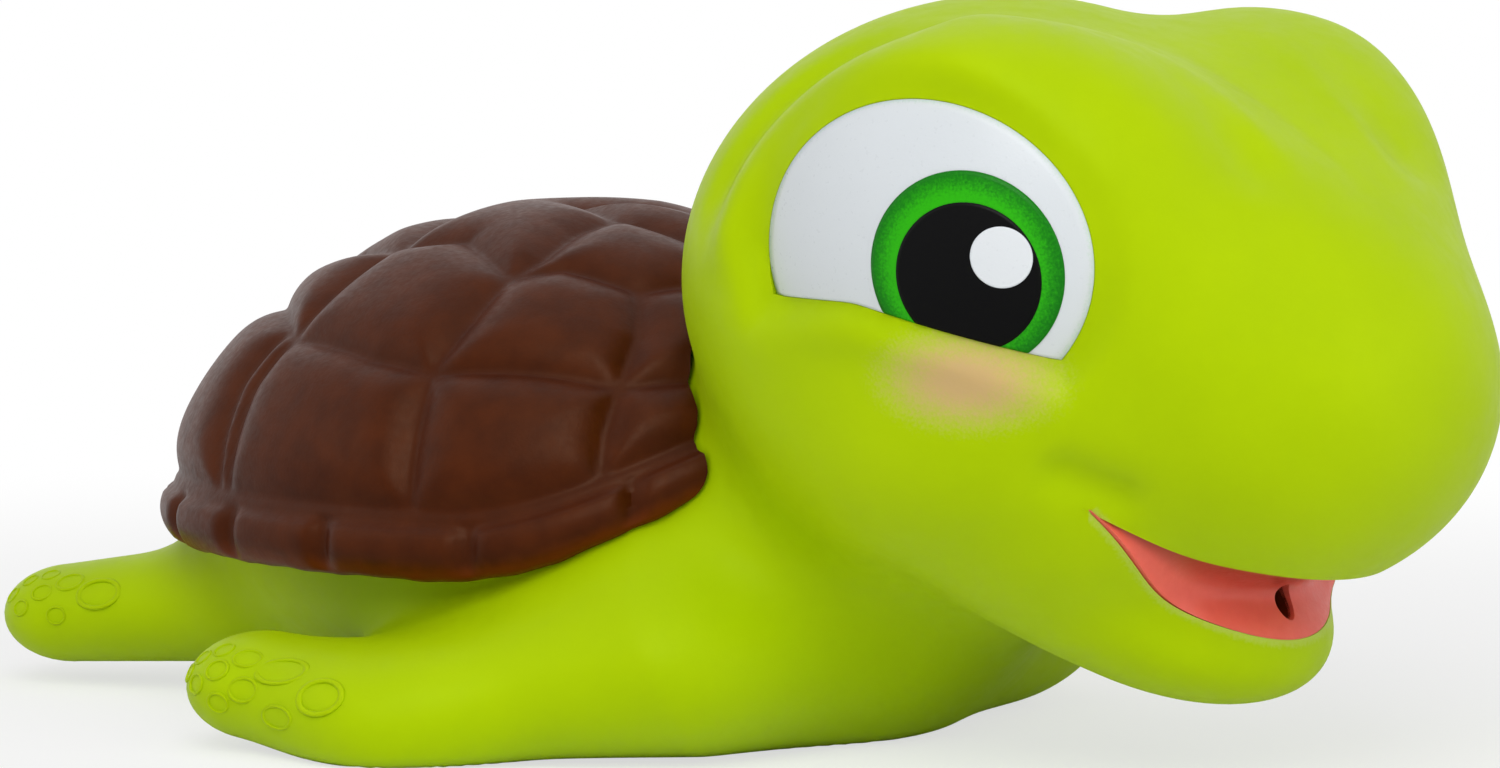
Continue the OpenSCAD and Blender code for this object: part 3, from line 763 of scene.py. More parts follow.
class FinishNodes:
    """The nodes of one material, read in the object's own coordinates.

    Args:
        name: The material's name.
        constants: Values of the shader that are the same all over, by socket name.
    """

    def __init__(self, name: str, constants: dict[str, Any]) -> None:
        """Makes the material with its shader, its output and its places."""
        self.material = bpy.data.materials.new(name)
        self.material.use_nodes = True
        self.tree = self.material.node_tree
        self.tree.nodes.clear()
        self.shader = self.add("ShaderNodeBsdfPrincipled", constants)
        self.output = self.add("ShaderNodeOutputMaterial", {"Surface": self.shader.outputs[0]})
        self.place = self.add("ShaderNodeTexCoord").outputs["Object"]

    def add(self, kind: str, inputs: dict[Any, Any] | None = None,
            **settings: Any) -> bpy.types.Node:
        """Adds a node to the material."""
        return add_node(self.tree, kind, inputs, **settings)

    def feed(self, socket: str, value: bpy.types.NodeSocket) -> None:
        """Links a value that varies over the surface to the shader."""
        self.tree.links.new(value, self.shader.inputs[socket])

    def noise(self, grain_mm: float, detail: float) -> bpy.types.NodeSocket:
        """Noise whose lumps are about this many millimetres across."""
        return self.add("ShaderNodeTexNoise", {"Vector": self.place, "Scale": 1 / (grain_mm * MM),
                                               "Detail": detail}).outputs["Fac"]

    def sum(self, how: str, a: Any, b: Any = 0.0) -> bpy.types.NodeSocket:
        """A math node's result."""
        return self.add("ShaderNodeMath", {0: a, 1: b}, operation=how).outputs[0]

    def span(self, value: Any, low: float, high: float, to_low: float = 0.0,
             to_high: float = 1.0) -> bpy.types.NodeSocket:
        """A value led smoothly from one range into another.

        Args:
            value: The value.
            low: Where its range begins.
            high: Where its range ends.
            to_low: What it becomes at the beginning.
            to_high: What it becomes at the end.

        Returns:
            The new value.
        """
        return self.add("ShaderNodeMapRange", {"Value": value, "From Min": low, "From Max": high,
                                               "To Min": to_low, "To Max": to_high},
                        interpolation_type="SMOOTHSTEP").outputs["Result"]

    def mixed(self, share: Any, a: Any, b: Any) -> bpy.types.NodeSocket:
        """Two colours mixed by a share."""
        inputs = {0: share, 6: a, 7: b}
        return self.add("ShaderNodeMix", inputs, data_type="RGBA").outputs[2]

    def stored(self, name: str) -> bpy.types.NodeSocket:
        """A number stored on the mesh."""
        return self.add("ShaderNodeAttribute", attribute_name=name).outputs["Fac"]

    def length(self, vector: bpy.types.NodeSocket) -> bpy.types.NodeSocket:
        """How long a vector is."""
        node = self.add("ShaderNodeVectorMath", {0: vector}, operation="LENGTH")
        return node.outputs["Value"]

    def ragged(self, value: Any, grain_mm: float, detail: float,
               amount: float) -> bpy.types.NodeSocket:
        """A value made uneven by noise, which adds and takes away half of the amount."""
        noise = self.sum("SUBTRACT", self.noise(grain_mm, detail), 0.5)
        return self.sum("ADD", value, self.sum("MULTIPLY", noise, amount))

    def rough(self, noise: bpy.types.NodeSocket, low: float, high: float) -> None:
        """Lets the roughness follow noise from one value to another."""
        self.feed("Roughness", self.span(noise, 0.2, 0.8, low, high))

    def bumps(self, *layers: tuple[bpy.types.NodeSocket, float]) -> None:
        """Raises the surface by heights and their depths in millimetres, coarse first."""
        normal = None
        for height, depth_mm in layers:
            inputs = {"Height": height, "Distance": depth_mm * MM, "Strength": 1.0}
            if normal is not None:
                inputs["Normal"] = normal
            normal = self.add("ShaderNodeBump", inputs).outputs["Normal"]
        self.feed("Normal", normal)


@dataclass(frozen=True)
class SkinFinish:
    """Satin lime-green vinyl with a sprayed blush under each eye, a sprayed lip line, and painted
    shade on the wall of the squirt hole.
    """

    lit: Colour = (177, 206, 0)
    deep: Colour = (165, 195, 0)
    blush: Colour = (216, 160, 140)
    overspray: Colour = (186, 206, 96)
    # painted shade: a dark shaded pink for the wall of the squirt hole
    bore_shade: Colour = (110, 40, 12)
    blush_at: Triple = (38.6, 23.7, 29.0)
    blush_reach: Triple = (6.4, 6.6, 3.4)
    blush_share: float = 0.72
    overspray_share: float = 0.6

    def material(self) -> bpy.types.Material:
        """The vinyl's material."""
        n = FinishNodes("green_vinyl", {"Roughness": 0.45, "IOR": 1.46, "Subsurface Weight": 0.22,
                                        "Subsurface Radius": (1.0, 0.9, 0.15),
                                        "Subsurface Scale": 2.4 * MM, "Specular IOR Level": 0.22,
                                        "Specular Tint": (0.8, 1.0, 0.2, 1.0)})
        colour = n.mixed(n.noise(9, 3), linear(self.deep), linear(self.lit))
        x, y, z = n.add("ShaderNodeSeparateXYZ", {0: n.place}).outputs
        values = (x, n.sum("ABSOLUTE", y), z)
        parts = [n.sum("DIVIDE", n.sum("SUBTRACT", value, at * MM), reach * MM)
                 for value, at, reach in zip(values, self.blush_at, self.blush_reach)]
        vector = n.add("ShaderNodeCombineXYZ", dict(enumerate(parts))).outputs[0]
        spray = n.ragged(n.length(vector), 0.22, 1, 0.5)
        blush = n.span(spray, 1.25, 0.2, 0.0, self.blush_share)
        colour = n.mixed(blush, colour, linear(self.blush))
        line = n.ragged(n.stored("lip_edge"), 0.3, 1, 0.6)
        overspray = n.span(line, 0.75, 0.1, 0.0, self.overspray_share)
        colour = n.mixed(overspray, colour, linear(self.overspray))
        # painted shade over the wall of the squirt hole, where the stored bore mark is 1
        n.feed("Base Color", n.mixed(n.stored("bore"), colour, linear(self.bore_shade)))
        n.rough(n.noise(1.4, 4), 0.44, 0.54)
        n.bumps((n.noise(5, 1), 0.06), (n.noise(0.35, 2), 0.008))
        return n.material


@dataclass(frozen=True)
class ShellFinish:
    """Satin brown sprayed coat with a fine speckle, thinner and warmer at its edge, and with
    painted shade in the grooves between its plates.
    """

    lit: Colour = (74, 29, 5)
    deep: Colour = (56, 18, 2)
    edge: Colour = (104, 42, 5)

    def material(self) -> bpy.types.Material:
        """The shell's material."""
        n = FinishNodes("brown_vinyl", {"Roughness": 0.4, "IOR": 1.46, "Specular IOR Level": 0.16,
                                        "Specular Tint": (1.0, 0.72, 0.5, 1.0)})
        colour = n.mixed(n.span(n.noise(2.4, 3), 0.1, 0.9), linear(self.deep), linear(self.lit))
        # painted shade: the plates darken to the deep colour in their grooves
        groove = n.span(n.stored("groove"), 0.9, 0.0, 0.0, 0.45)
        colour = n.mixed(groove, colour, linear(self.deep))
        rim = n.span(n.sum("ADD", n.stored("rim"), n.noise(1.5, 3)), 1.9, 0.5, 0.0, 0.8)
        n.feed("Base Color", n.mixed(rim, colour, linear(self.edge)))
        n.rough(n.noise(0.5, 3), 0.35, 0.47)
        n.bumps((n.noise(3, 2), 0.05), (n.noise(0.28, 2), 0.012))
        return n.material


@dataclass(frozen=True)
class PaintFinish:
    """Satin coral-pink sprayed coat, with painted shade towards the upper lip, away from the light.
    """

    lit: Colour = (246, 108, 94)
    deep: Colour = (234, 94, 80)
    shade: Colour = (150, 44, 22)

    def material(self) -> bpy.types.Material:
        """The paint's material."""
        n = FinishNodes("pink_paint", {"Roughness": 0.36, "IOR": 1.46, "Specular IOR Level": 0.35,
                                       "Subsurface Weight": 0.15,
                                       "Subsurface Radius": (1.0, 0.3, 0.2),
                                       "Subsurface Scale": 1.5 * MM})
        colour = n.mixed(n.noise(1.2, 4), linear(self.deep), linear(self.lit))
        # painted shade: the pink darkens towards the upper lip, under its overhang
        shaded = n.span(n.stored("up"), 0.5, 1.0, 0.0, 0.8)
        n.feed("Base Color", n.mixed(shaded, colour, linear(self.shade)))
        n.rough(n.noise(0.4, 2), 0.32, 0.44)
        n.bumps((n.noise(1.1, 2), 0.03), (n.noise(0.25, 2), 0.01))
        return n.material


@dataclass(frozen=True)
class InkFinish:
    """Printed ink: its colour at the middle and at the rim of the print, with a fine grain."""

    name: str
    middle: Colour
    rim: Colour
    rim_from: float = 0.8
    grain: float = 0.06
    gloss: float = 0.3
    shine: float = 0.4

    def material(self) -> bpy.types.Material:
        """The ink's material."""
        n = FinishNodes(self.name, {"Roughness": self.gloss, "IOR": 1.48,
                                    "Specular IOR Level": self.shine})
        reach = n.ragged(n.stored("reach"), 0.18, 2, self.grain)
        rim = n.span(reach, self.rim_from, 1.0)
        n.feed("Base Color", n.mixed(rim, linear(self.middle), linear(self.rim)))
        n.rough(n.noise(0.3, 2), self.gloss - 0.04, self.gloss + 0.08)
        n.bumps((n.noise(0.2, 2), 0.006))
        return n.material


@dataclass(frozen=True)
class PlasticFinish:
    """Plain moulded plastic or film of the squeaker's pieces."""

    name: str
    colour: Colour
    shade: Colour
    gloss: float
    see_through: float = 0.0

    def material(self) -> bpy.types.Material:
        """The plastic's material."""
        n = FinishNodes(self.name, {"Roughness": self.gloss, "IOR": 1.49,
                                    "Transmission Weight": self.see_through})
        n.feed("Base Color", n.mixed(n.noise(2.5, 3), linear(self.shade), linear(self.colour)))
        n.rough(n.noise(0.6, 2), self.gloss - 0.05, self.gloss + 0.08)
        n.bumps((n.noise(0.4, 2), 0.01))
        return n.material


# Sub-assemblies


@dataclass
class Mouth:
    """The open smile: its recess, the squirt hole and the pink coat on its floor."""

    form: TurtleForm
    rows: int = 41
    columns: int = 241
    coat: float = 0.22
    root: float = 0.15
    fan: float = 60.0
    cutter: float = 8.0
    squirt: Pair = (1.1, 1.4)
    squirt_z: float = 12.7
    squirt_rings: tuple[Pair, ...] = (
        (0.8, 44.0), (0.86, 48.3), (0.95, 48.9), (1.15, 49.55), (1.5, 60.0))
    squirt_wall: float = 1.2
    sharp: float = 45.0
    finish: PaintFinish = PaintFinish()

    def slab(self, low: float, high: float | None) -> tuple[Array, list[list[int]]]:
        """A closed slab over the recess's floor.

        Args:
            low: Lift of its inner side above the floor.
            high: Lift of its outer side, or None where it reaches out of the skin.

        Returns:
            Corner places and faces.
        """
        form = self.form.mouth
        columns = form.half * form.ends * np.sin(np.pi / 2 * np.linspace(-1, 1, self.columns))
        aside, share = np.meshgrid(columns, np.linspace(0, 1, self.rows), indexing="xy")
        inner = form.floor(self.form.modelled, aside, share, low)
        if high is None:
            way = np.radians(self.fan) * aside / form.half
            outer = inner + self.cutter * np.stack([np.cos(way), np.sin(way), 0 * way], -1)
        else:
            outer = form.floor(self.form.modelled, aside, share, high)
        points = np.concatenate([outer.reshape(-1, 3), inner.reshape(-1, 3)])
        return points, shell_faces(self.rows, self.columns)

    def bore(self) -> tuple[Array, list[list[int]]]:
        """The upright oval squirt hole with its eased mouth, as a cutter."""
        points, faces = turned_form(self.squirt_rings, 48)
        wide, tall = self.squirt
        aside, up, ahead = points.T
        return np.stack([ahead, aside * wide, up * tall + self.squirt_z], -1), faces

    def in_bore(self, p: Array) -> Array:
        """1 for places on the wall of the squirt hole, where the skin is given painted shade, and 0
        elsewhere.

        Args:
            p: The places.

        Returns:
            The marks.
        """
        wide, tall = self.squirt
        reach = np.hypot(p[:, 1] / wide, (p[:, 2] - self.squirt_z) / tall)
        ahead = p[:, 0] > self.squirt_rings[0][1] - 1
        return ((reach < self.squirt_wall) & ahead).astype(float)

    def build(self) -> None:
        """Makes the lining in place of the coat's solid."""
        points, faces = self.slab(-self.root, self.coat)
        piece = new_piece("mouth_lining", points, faces, Slot.MOUTH, self.finish.material())
        cut_away(piece, *self.bore())
        piece.data.set_sharp_from_angle(angle=math.radians(self.sharp))
        q = places_of(piece.data)
        mouth = self.form.mouth
        share = (q[:, 2] - mouth.low(q)) / np.maximum(mouth.high(q) - mouth.low(q), 0.05)
        keep_value(piece.data, "up", np.clip(share, 0, 1))
        settle_on(piece, TOY, "mouth_coat")


@dataclass
class Skin:
    """The green vinyl skin, with the recesses that its other parts lie in."""

    form: TurtleForm
    cell: float = 0.6
    low: Triple = (-60.5, -40.0, -1.5)
    high: Triple = (65.0, 40.0, 56.5)
    seat_x: float = -14.0
    seat: tuple[Pair, ...] = ((8.15, -3), (8.15, 2), (6.1, 2), (6.1, 5), (7.2, 5), (7.2, 12.4))
    lip_from: float = 10.0
    sharp: float = 38.0
    finish: SkinFinish = SkinFinish()

    def build(self, mouth: Mouth, eyes: Sequence["Eye"]) -> bpy.types.Material:
        """Makes the skin in place of the moulding's solid.

        Args:
            mouth: The mouth whose recess and squirt hole it has.
            eyes: The eyes whose recesses it has.

        Returns:
            The skin's finish.
        """
        material = self.finish.material()
        points, faces = surface_net(self.form.modelled, self.low, self.high, self.cell)
        points = settled(points, self.form.modelled, self.cell)
        skin = new_piece("vinyl_skin", points, faces, Slot.SKIN, material)
        for eye in eyes:
            cut_away(skin, *eye.recess())
        cut_away(skin, *mouth.slab(0.0, None))
        cut_away(skin, *mouth.bore())
        seat, faces = turned_form(self.seat, 96)
        cut_away(skin, seat + np.array([self.seat_x, 0, 0]), faces)
        skin.data.set_sharp_from_angle(angle=math.radians(self.sharp))
        places = places_of(skin.data)
        keep_value(skin.data, "lip_edge", self.lip_edge(folded(places)))
        keep_value(skin.data, "bore", mouth.in_bore(places))
        settle_on(skin, TOY, "body_moulding")
        return material

    def lip_edge(self, q: Array) -> Array:
        """Way down from the lower lip's edge, and far off anywhere else.

        Args:
            q: The places, on the right side.

        Returns:
            The ways.
        """
        mouth = self.form.mouth
        beside = np.abs(q[:, 1]) > mouth.half * mouth.ends
        far = beside | (q[:, 0] < mouth.back + self.lip_from)
        return np.where(far, NO_LIP, np.abs(mouth.low(q) - q[:, 2]))


@dataclass(frozen=True)
class EyeLayer:
    """One printed layer of an eye."""

    name: str
    node: str
    at: Pair
    size: Pair
    slot: Slot
    finish: InkFinish


@dataclass
class Eye:
    """One eye: the white, iris, pupil and glint, printed over one another on its ball."""

    side: Side
    form: EyeForm
    around: int = 240
    rings: int = 20
    film: float = 0.05
    lift: float = 0.03
    step: float = 0.07
    lid_gap: float = 0.04
    room: float = 0.1
    cutter: float = 5.0

    def layers(self) -> list[EyeLayer]:
        """The layers, from the ball outwards."""
        f = self.form
        white, iris = f.size, (2 * f.iris_r, 2 * f.iris_r)
        pupil, glint = (2 * f.pupil_r, 2 * f.pupil_r), (2 * f.glint_r, 2 * f.glint_r)
        return [
            EyeLayer("white", "eye_white", f.middle, white, Slot.WHITE,
                     InkFinish("white_ink", (214, 219, 223), (200, 214, 208), 0.97, 0.05)),
            EyeLayer("iris", "iris", f.iris_at, iris, Slot.IRIS,
                     InkFinish("green_ink", (44, 178, 8), (12, 116, 10), 0.72, 0.3, 0.34, 0.14)),
            EyeLayer("pupil", "pupil", f.pupil_at, pupil, Slot.PUPIL,
                     InkFinish("black_ink", (3, 3, 4), (2, 3, 2), 0.9, 0.05, 0.34, 0.1)),
            EyeLayer("glint", "glint", f.glint_at, glint, Slot.WHITE,
                     InkFinish("glint_ink", (224, 228, 232), (214, 220, 226), 0.96, 0.03)),
        ]

    def edge(self, at: Pair, size: Pair, gap: float) -> tuple[Array, Array]:
        """Ways round an outline's middle and how far it reaches each way.

        Args:
            at: The middle of the outline.
            size: Width and height of its oval.
            gap: Room left above the lower lid.

        Returns:
            The ways in radians, and the reaches.
        """
        way = 2 * np.pi * np.arange(self.around) / self.around

        def inside(r: Array) -> Array:
            """Which ways are inside the outline at this reach."""
            s, t = at[0] + r * np.cos(way), at[1] + r * np.sin(way)
            return self.form.outline(s, t, at, size, gap) < 0

        return way, last_inside(inside, way.shape, 0.0, max(size))

    def slab(self, at: Pair, size: Pair, gap: float, low: float,
             high: float) -> tuple[Array, list[list[int]], Array]:
        """A closed slab over the ball, between two lifts above it.

        Args:
            at: Middle of its outline across the eye.
            size: Width and height of its oval.
            gap: Room left above the lower lid.
            low: Lift of its inner side.
            high: Lift of its outer side.

        Returns:
            Corner places, faces, and each corner's reach as a share of the oval.
        """
        way, reach = self.edge(at, size, gap)
        shares = np.arange(1, self.rings + 1) / self.rings
        middle = (np.array([at[0]]), np.array([at[1]]))
        points, kept = [self.form.place(*middle, high)], [0.0]
        rings = [(share, high) for share in shares] + [(share, low) for share in shares[::-1]]
        for share, lift in rings:
            s, t = at[0] + share * reach * np.cos(way), at[1] + share * reach * np.sin(way)
            points.append(self.form.place(s, t, lift))
            kept.extend(2 * np.hypot((s - at[0]) / size[0], (t - at[1]) / size[1]))
        points.append(self.form.place(*middle, low))
        faces = ring_faces(2 * self.rings, self.around)
        if self.side is Side.LEFT:
            faces = [f[::-1] for f in faces]
        mirror = np.array([1, self.side.value, 1])
        return np.concatenate(points) * mirror, faces, np.array(kept + [0.0])

    def recess(self) -> tuple[Array, list[list[int]]]:
        """The recess over the ball, as a cutter that reaches out of the skin."""
        wide, high = self.form.size
        size = (wide + self.room, high + self.room)
        points, faces, _ = self.slab(self.form.middle, size, 0.0, 0.0, self.cutter)
        return points, faces

    def build(self) -> None:
        """Makes the four layers in place of their solids."""
        for number, layer in enumerate(self.layers()):
            low = self.lift + number * self.step
            points, faces, kept = self.slab(layer.at, layer.size, self.lid_gap, low,
                                            low + self.film)
            side = self.side.name.lower()
            piece = new_piece(f"{layer.name}_print_{side}", points, faces, layer.slot,
                              layer.finish.material())
            keep_value(piece.data, "reach", kept)
            settle_on(piece, TOY, f"{layer.node}_{side}")


@dataclass
class Carapace:
    """The brown quilted shell: puffed plates on a dome, with a band of small plates.

    Args:
        form: The turtle's form, whose dome it follows.
        puff: Height of the plates.
        puff_w: Way from a groove to a plate's full height.
        puff_power: How soon a plate rises from its groove.
        band_h: Height of the band along the lower edge.
        band_puff: Height of the band's plates as a share of the others'.
        band_span: Where on a half wave their rise begins, and how much of it they follow.
        band_power: How full they are.
        band_from: How far under the band's top they begin, and over what way.
        notch: Depth of the grooves between them, as a share, and width.
        ridge: Height of the ridge over the band, as a share of puff, its place and width.
        ragged: Reach and start in degrees of the lower edge's waves, with their number
            between the two.
        turned_under: Shares of the way from the lower edge to the inner side.
        turned_drop: How far the lower edge bulges down between the two.
        valley: How rounded the bottoms of the grooves are.
        ease: Blend where two grooves meet.
        gap: How far the inner side lies inside the skin.
        cut_share: Share of gap that is left between the shell and the skin.
        cut_low: Lowest corner of the box in which the skin cuts the shell.
        cut_high: Highest corner of that box.
        cut_cell: Cell of the cutter's mesh.
        rings: Number of rings of the outer side.
        inner_rings: Number of rings of the inner side.
        around: Number of points round each ring.
        sharp: Angle in degrees from which an edge is shaded sharp.
        band_angles: Turns in degrees at which the band is divided, on both sides.
        finish: The shell's finish.
    """

    form: TurtleForm
    puff: float = 1.2
    puff_w: float = 5.4
    puff_power: float = 3.2
    band_h: float = 4.4
    band_puff: float = 1.05
    band_span: Pair = (0.02, 0.93)
    band_power: float = 0.7
    band_from: Pair = (0.2, 1.3)
    notch: Pair = (0.7, 0.75)
    ridge: Triple = (0.3, -0.3, 0.55)
    ragged: tuple[Triple, ...] = ((0.125, 23, 0), (0.1, 57, 40))
    turned_under: tuple[float, ...] = (0.12, 0.35, 0.65, 0.9)
    turned_drop: float = 0.35
    valley: float = 0.28
    ease: float = 0.9
    gap: float = 0.3
    cut_share: float = 0.6
    cut_low: Triple = (-56, -34, 5)
    cut_high: Triple = (60, 34, 56)
    cut_cell: float = 1.1
    rings: int = 180
    inner_rings: int = 24
    around: int = 420
    sharp: float = 50.0
    band_angles: tuple[float, ...] = (14, 30, 47, 68, 89, 107, 125, 143, 161, 180)
    finish: ShellFinish = ShellFinish()

    # The grooves as seen from above, on the right side: how far ahead of the dome's top
    # and how far aside each corner lies, where 1 is a right angle off the top.
    seam_shares = (
        ((-0.2, 0), (-0.19, 0.06), (-0.17, 0.27), (-0.23, 0.53), (-0.28, 0.63), (-0.31, 0.84),
         (-0.32, 1)),
        ((-0.03, 0), (0.11, 0.08), (0.11, 0.18), (0.13, 0.29), (0.12, 0.36), (0.13, 0.48),
         (0.13, 0.61), (0.16, 0.72), (0.21, 0.88), (0.24, 1)),
        ((0.11, 0.08), (0.34, 0.07), (0.66, 0.08)),
        ((0.31, 0.28), (0.38, 0.37), (0.43, 0.48), (0.47, 0.57), (0.52, 0.65), (0.62, 0.8)),
        ((-0.62, 0.12), (-0.34, 0.18), (-0.17, 0.27), (-0.04, 0.26), (0.12, 0.36), (0.18, 0.3),
         (0.31, 0.28), (0.34, 0.21), (0.66, 0.2)),
        ((-0.66, 0), (-0.62, 0.12), (-0.4, 0.33), (-0.23, 0.53), (0.0, 0.6), (0.13, 0.61),
         (0.43, 0.48), (0.5, 0.38), (0.7, 0.28)),
        ((-0.27, 0.5), (-0.33, 0.6), (-0.345, 0.72), (-0.35, 0.9)),
        ((-0.66, 0), (-1, 0)),
        ((-0.56, 0.2), (-0.9, 0.44)),
    )

    def half(self, inset: float) -> Array:
        """Half the dome's size, drawn in."""
        return np.array(self.form.dome.size) / 2 - inset

    @property
    def arc(self) -> float:
        """Way over the dome from its top down to a right angle, near enough."""
        return math.pi / 6 * self.half(self.puff).sum()

    def way(self, down: Array, turn: Array) -> Array:
        """Unit places of a sphere, from angles off the top and round it in degrees."""
        a, b = np.radians(down), np.radians(turn)
        return np.stack([np.sin(a) * np.cos(b), np.sin(a) * np.sin(b), np.cos(a)], -1)

    def smooth_place(self, down: Array, turn: Array, inset: float) -> Array:
        """Places on the dome without its plates."""
        return np.array(self.form.dome.at) + self.half(inset) * self.way(down, turn)

    def seam_distance(self, down: Array, turn: Array) -> Array:
        """Way in millimetres from each place to the nearest groove, eased between two.

        Args:
            down: Angle of each place off the dome's top, in degrees.
            turn: Its turn round the top, in degrees.

        Returns:
            The ways.
        """
        turn = np.radians(turn)
        m = (down / 90)[..., None] * np.stack([np.cos(turn), np.abs(np.sin(turn))], -1)
        far = 9.0 * self.arc
        nearest = np.full(down.shape, far)
        for line in self.seam_shares:
            corners = np.array(line)
            ways = [to_segment(m, a, b)[1] for a, b in zip(corners[:-1], corners[1:])]
            nearest = joined(nearest, self.arc * np.min(ways, 0), self.ease)
        return nearest

    def puffed(self, gap: Array, wide: float) -> Array:
        """Height of a plate at a distance from its groove, whose bottom is rounded."""
        soft = np.sqrt(np.maximum(gap, 0) ** 2 + self.valley ** 2) - self.valley
        return self.puff * (1 - (1 - np.clip(soft / wide, 0, 1)) ** self.puff_power)

    def relief(self, down: Array, turn: Array) -> tuple[Array, Array, Array]:
        """Height of the plates, way to the nearest groove and height above the lower edge.

        Args:
            down: Angle of each place off the dome's top, in degrees.
            turn: Its turn round the top, in degrees.

        Returns:
            The three measures of each place.
        """
        low = self.smooth_place(down, turn, self.puff)
        rim = low[..., 2] - self.form.rim_height(low[..., 0])
        above = rim - self.band_h
        folded_turn = np.abs((turn + 180) % 360 - 180)
        aside = self.arc / 90 * np.min([np.abs(a - folded_turn) for a in self.band_angles], 0)
        plate = joined(np.maximum(above, 0), self.seam_distance(down, turn), self.ease)
        height = self.puffed(plate, self.puff_w)
        start, growth = self.band_span
        bulge = np.clip(np.clip(-above / self.band_h, 0, 1) * growth + start, 0, 1)
        band = self.puff * self.band_puff * np.sin(np.pi * bulge) ** self.band_power
        depth, wide = self.notch
        band = band * (1 - depth * np.exp(-(aside / wide) ** 2))
        band = band * smooth_step((-above - self.band_from[0]) / self.band_from[1])
        share, at, wide = self.ridge
        ridge = share * self.puff * np.exp(-((above - at) / wide) ** 2)
        height = np.where(above > 0, height, band) + ridge
        return height, np.where(above > 0, plate, np.minimum(aside, -above)), rim

    def lower_edge(self, turn: Array) -> Array:
        """Angle off the top at which the dome meets its lower edge.

        Args:
            turn: Turns round the top, in degrees.

        Returns:
            The angle at each turn, in degrees.
        """

        def over(down: Array) -> Array:
            """Which places at this angle are above the lower edge."""
            place = self.smooth_place(down, turn, self.puff)
            return place[..., 2] > self.form.rim_height(place[..., 0])

        return last_inside(over, turn.shape, 20.0, 100.0)

    def build(self) -> None:
        """Makes the shell in place of its solid, and cuts it to the back of the skin."""
        turn = 360 * np.arange(self.around) / self.around
        edge = self.lower_edge(turn)
        for reach, waves, start in self.ragged:
            edge = edge + reach * np.sin(np.radians(turn * waves + start))
        inset = self.form.dome_inset - self.gap
        rings = []
        for k in range(1, self.rings + 1):
            down = edge * k / self.rings
            puffed = self.relief(down, turn)[0][:, None] * self.way(down, turn)
            rings.append(self.smooth_place(down, turn, self.puff) + puffed)
        outer, inner = rings[-1], self.smooth_place(edge, turn, inset)
        for share in self.turned_under:
            sunk = np.array([0, 0, -self.turned_drop * math.sin(math.pi * share)])
            rings.append(outer * (1 - share) + inner * share + sunk)
        for k in range(self.inner_rings, 0, -1):
            rings.append(self.smooth_place(edge * k / self.inner_rings, turn, inset))
        top = np.zeros(1)
        first = self.smooth_place(top, top, self.puff - float(self.relief(top, top)[0][0]))
        last = self.smooth_place(top, top, inset)
        points = np.concatenate([first] + rings + [last])
        faces = ring_faces(len(rings), self.around)
        shell = new_piece("quilted_shell", points, faces, Slot.SHELL, self.finish.material())
        cut_away(shell, *surface_net(lambda p: self.form.whole(p) - self.cut_share * self.gap,
                                     self.cut_low, self.cut_high, self.cut_cell))
        d = (places_of(shell.data) - np.array(self.form.dome.at)) / self.half(self.puff)
        down = np.degrees(np.arctan2(np.hypot(d[:, 0], d[:, 1]), d[:, 2]))
        around = np.degrees(np.arctan2(d[:, 1], d[:, 0]))
        _, plate, rim = self.relief(down, around)
        keep_value(shell.data, "groove", plate)
        keep_value(shell.data, "rim", rim)
        shell.data.set_sharp_from_angle(angle=math.radians(self.sharp))
        settle_on(shell, TOY, "carapace")


@dataclass(frozen=True)
class ScaleRow:
    """Embossed rings on one flipper, each given as ahead, aside, long and wide.

    Args:
        tip: The flipper's tip.
        towards: The flipper's way to its tip, seen from above.
        lean: How far the ringed side leans outwards, in degrees.
        rings: How far each ring is ahead of the tip and aside, and its length and width.
    """

    tip: Triple
    towards: Pair
    lean: float
    rings: tuple[tuple[float, float, float, float], ...]


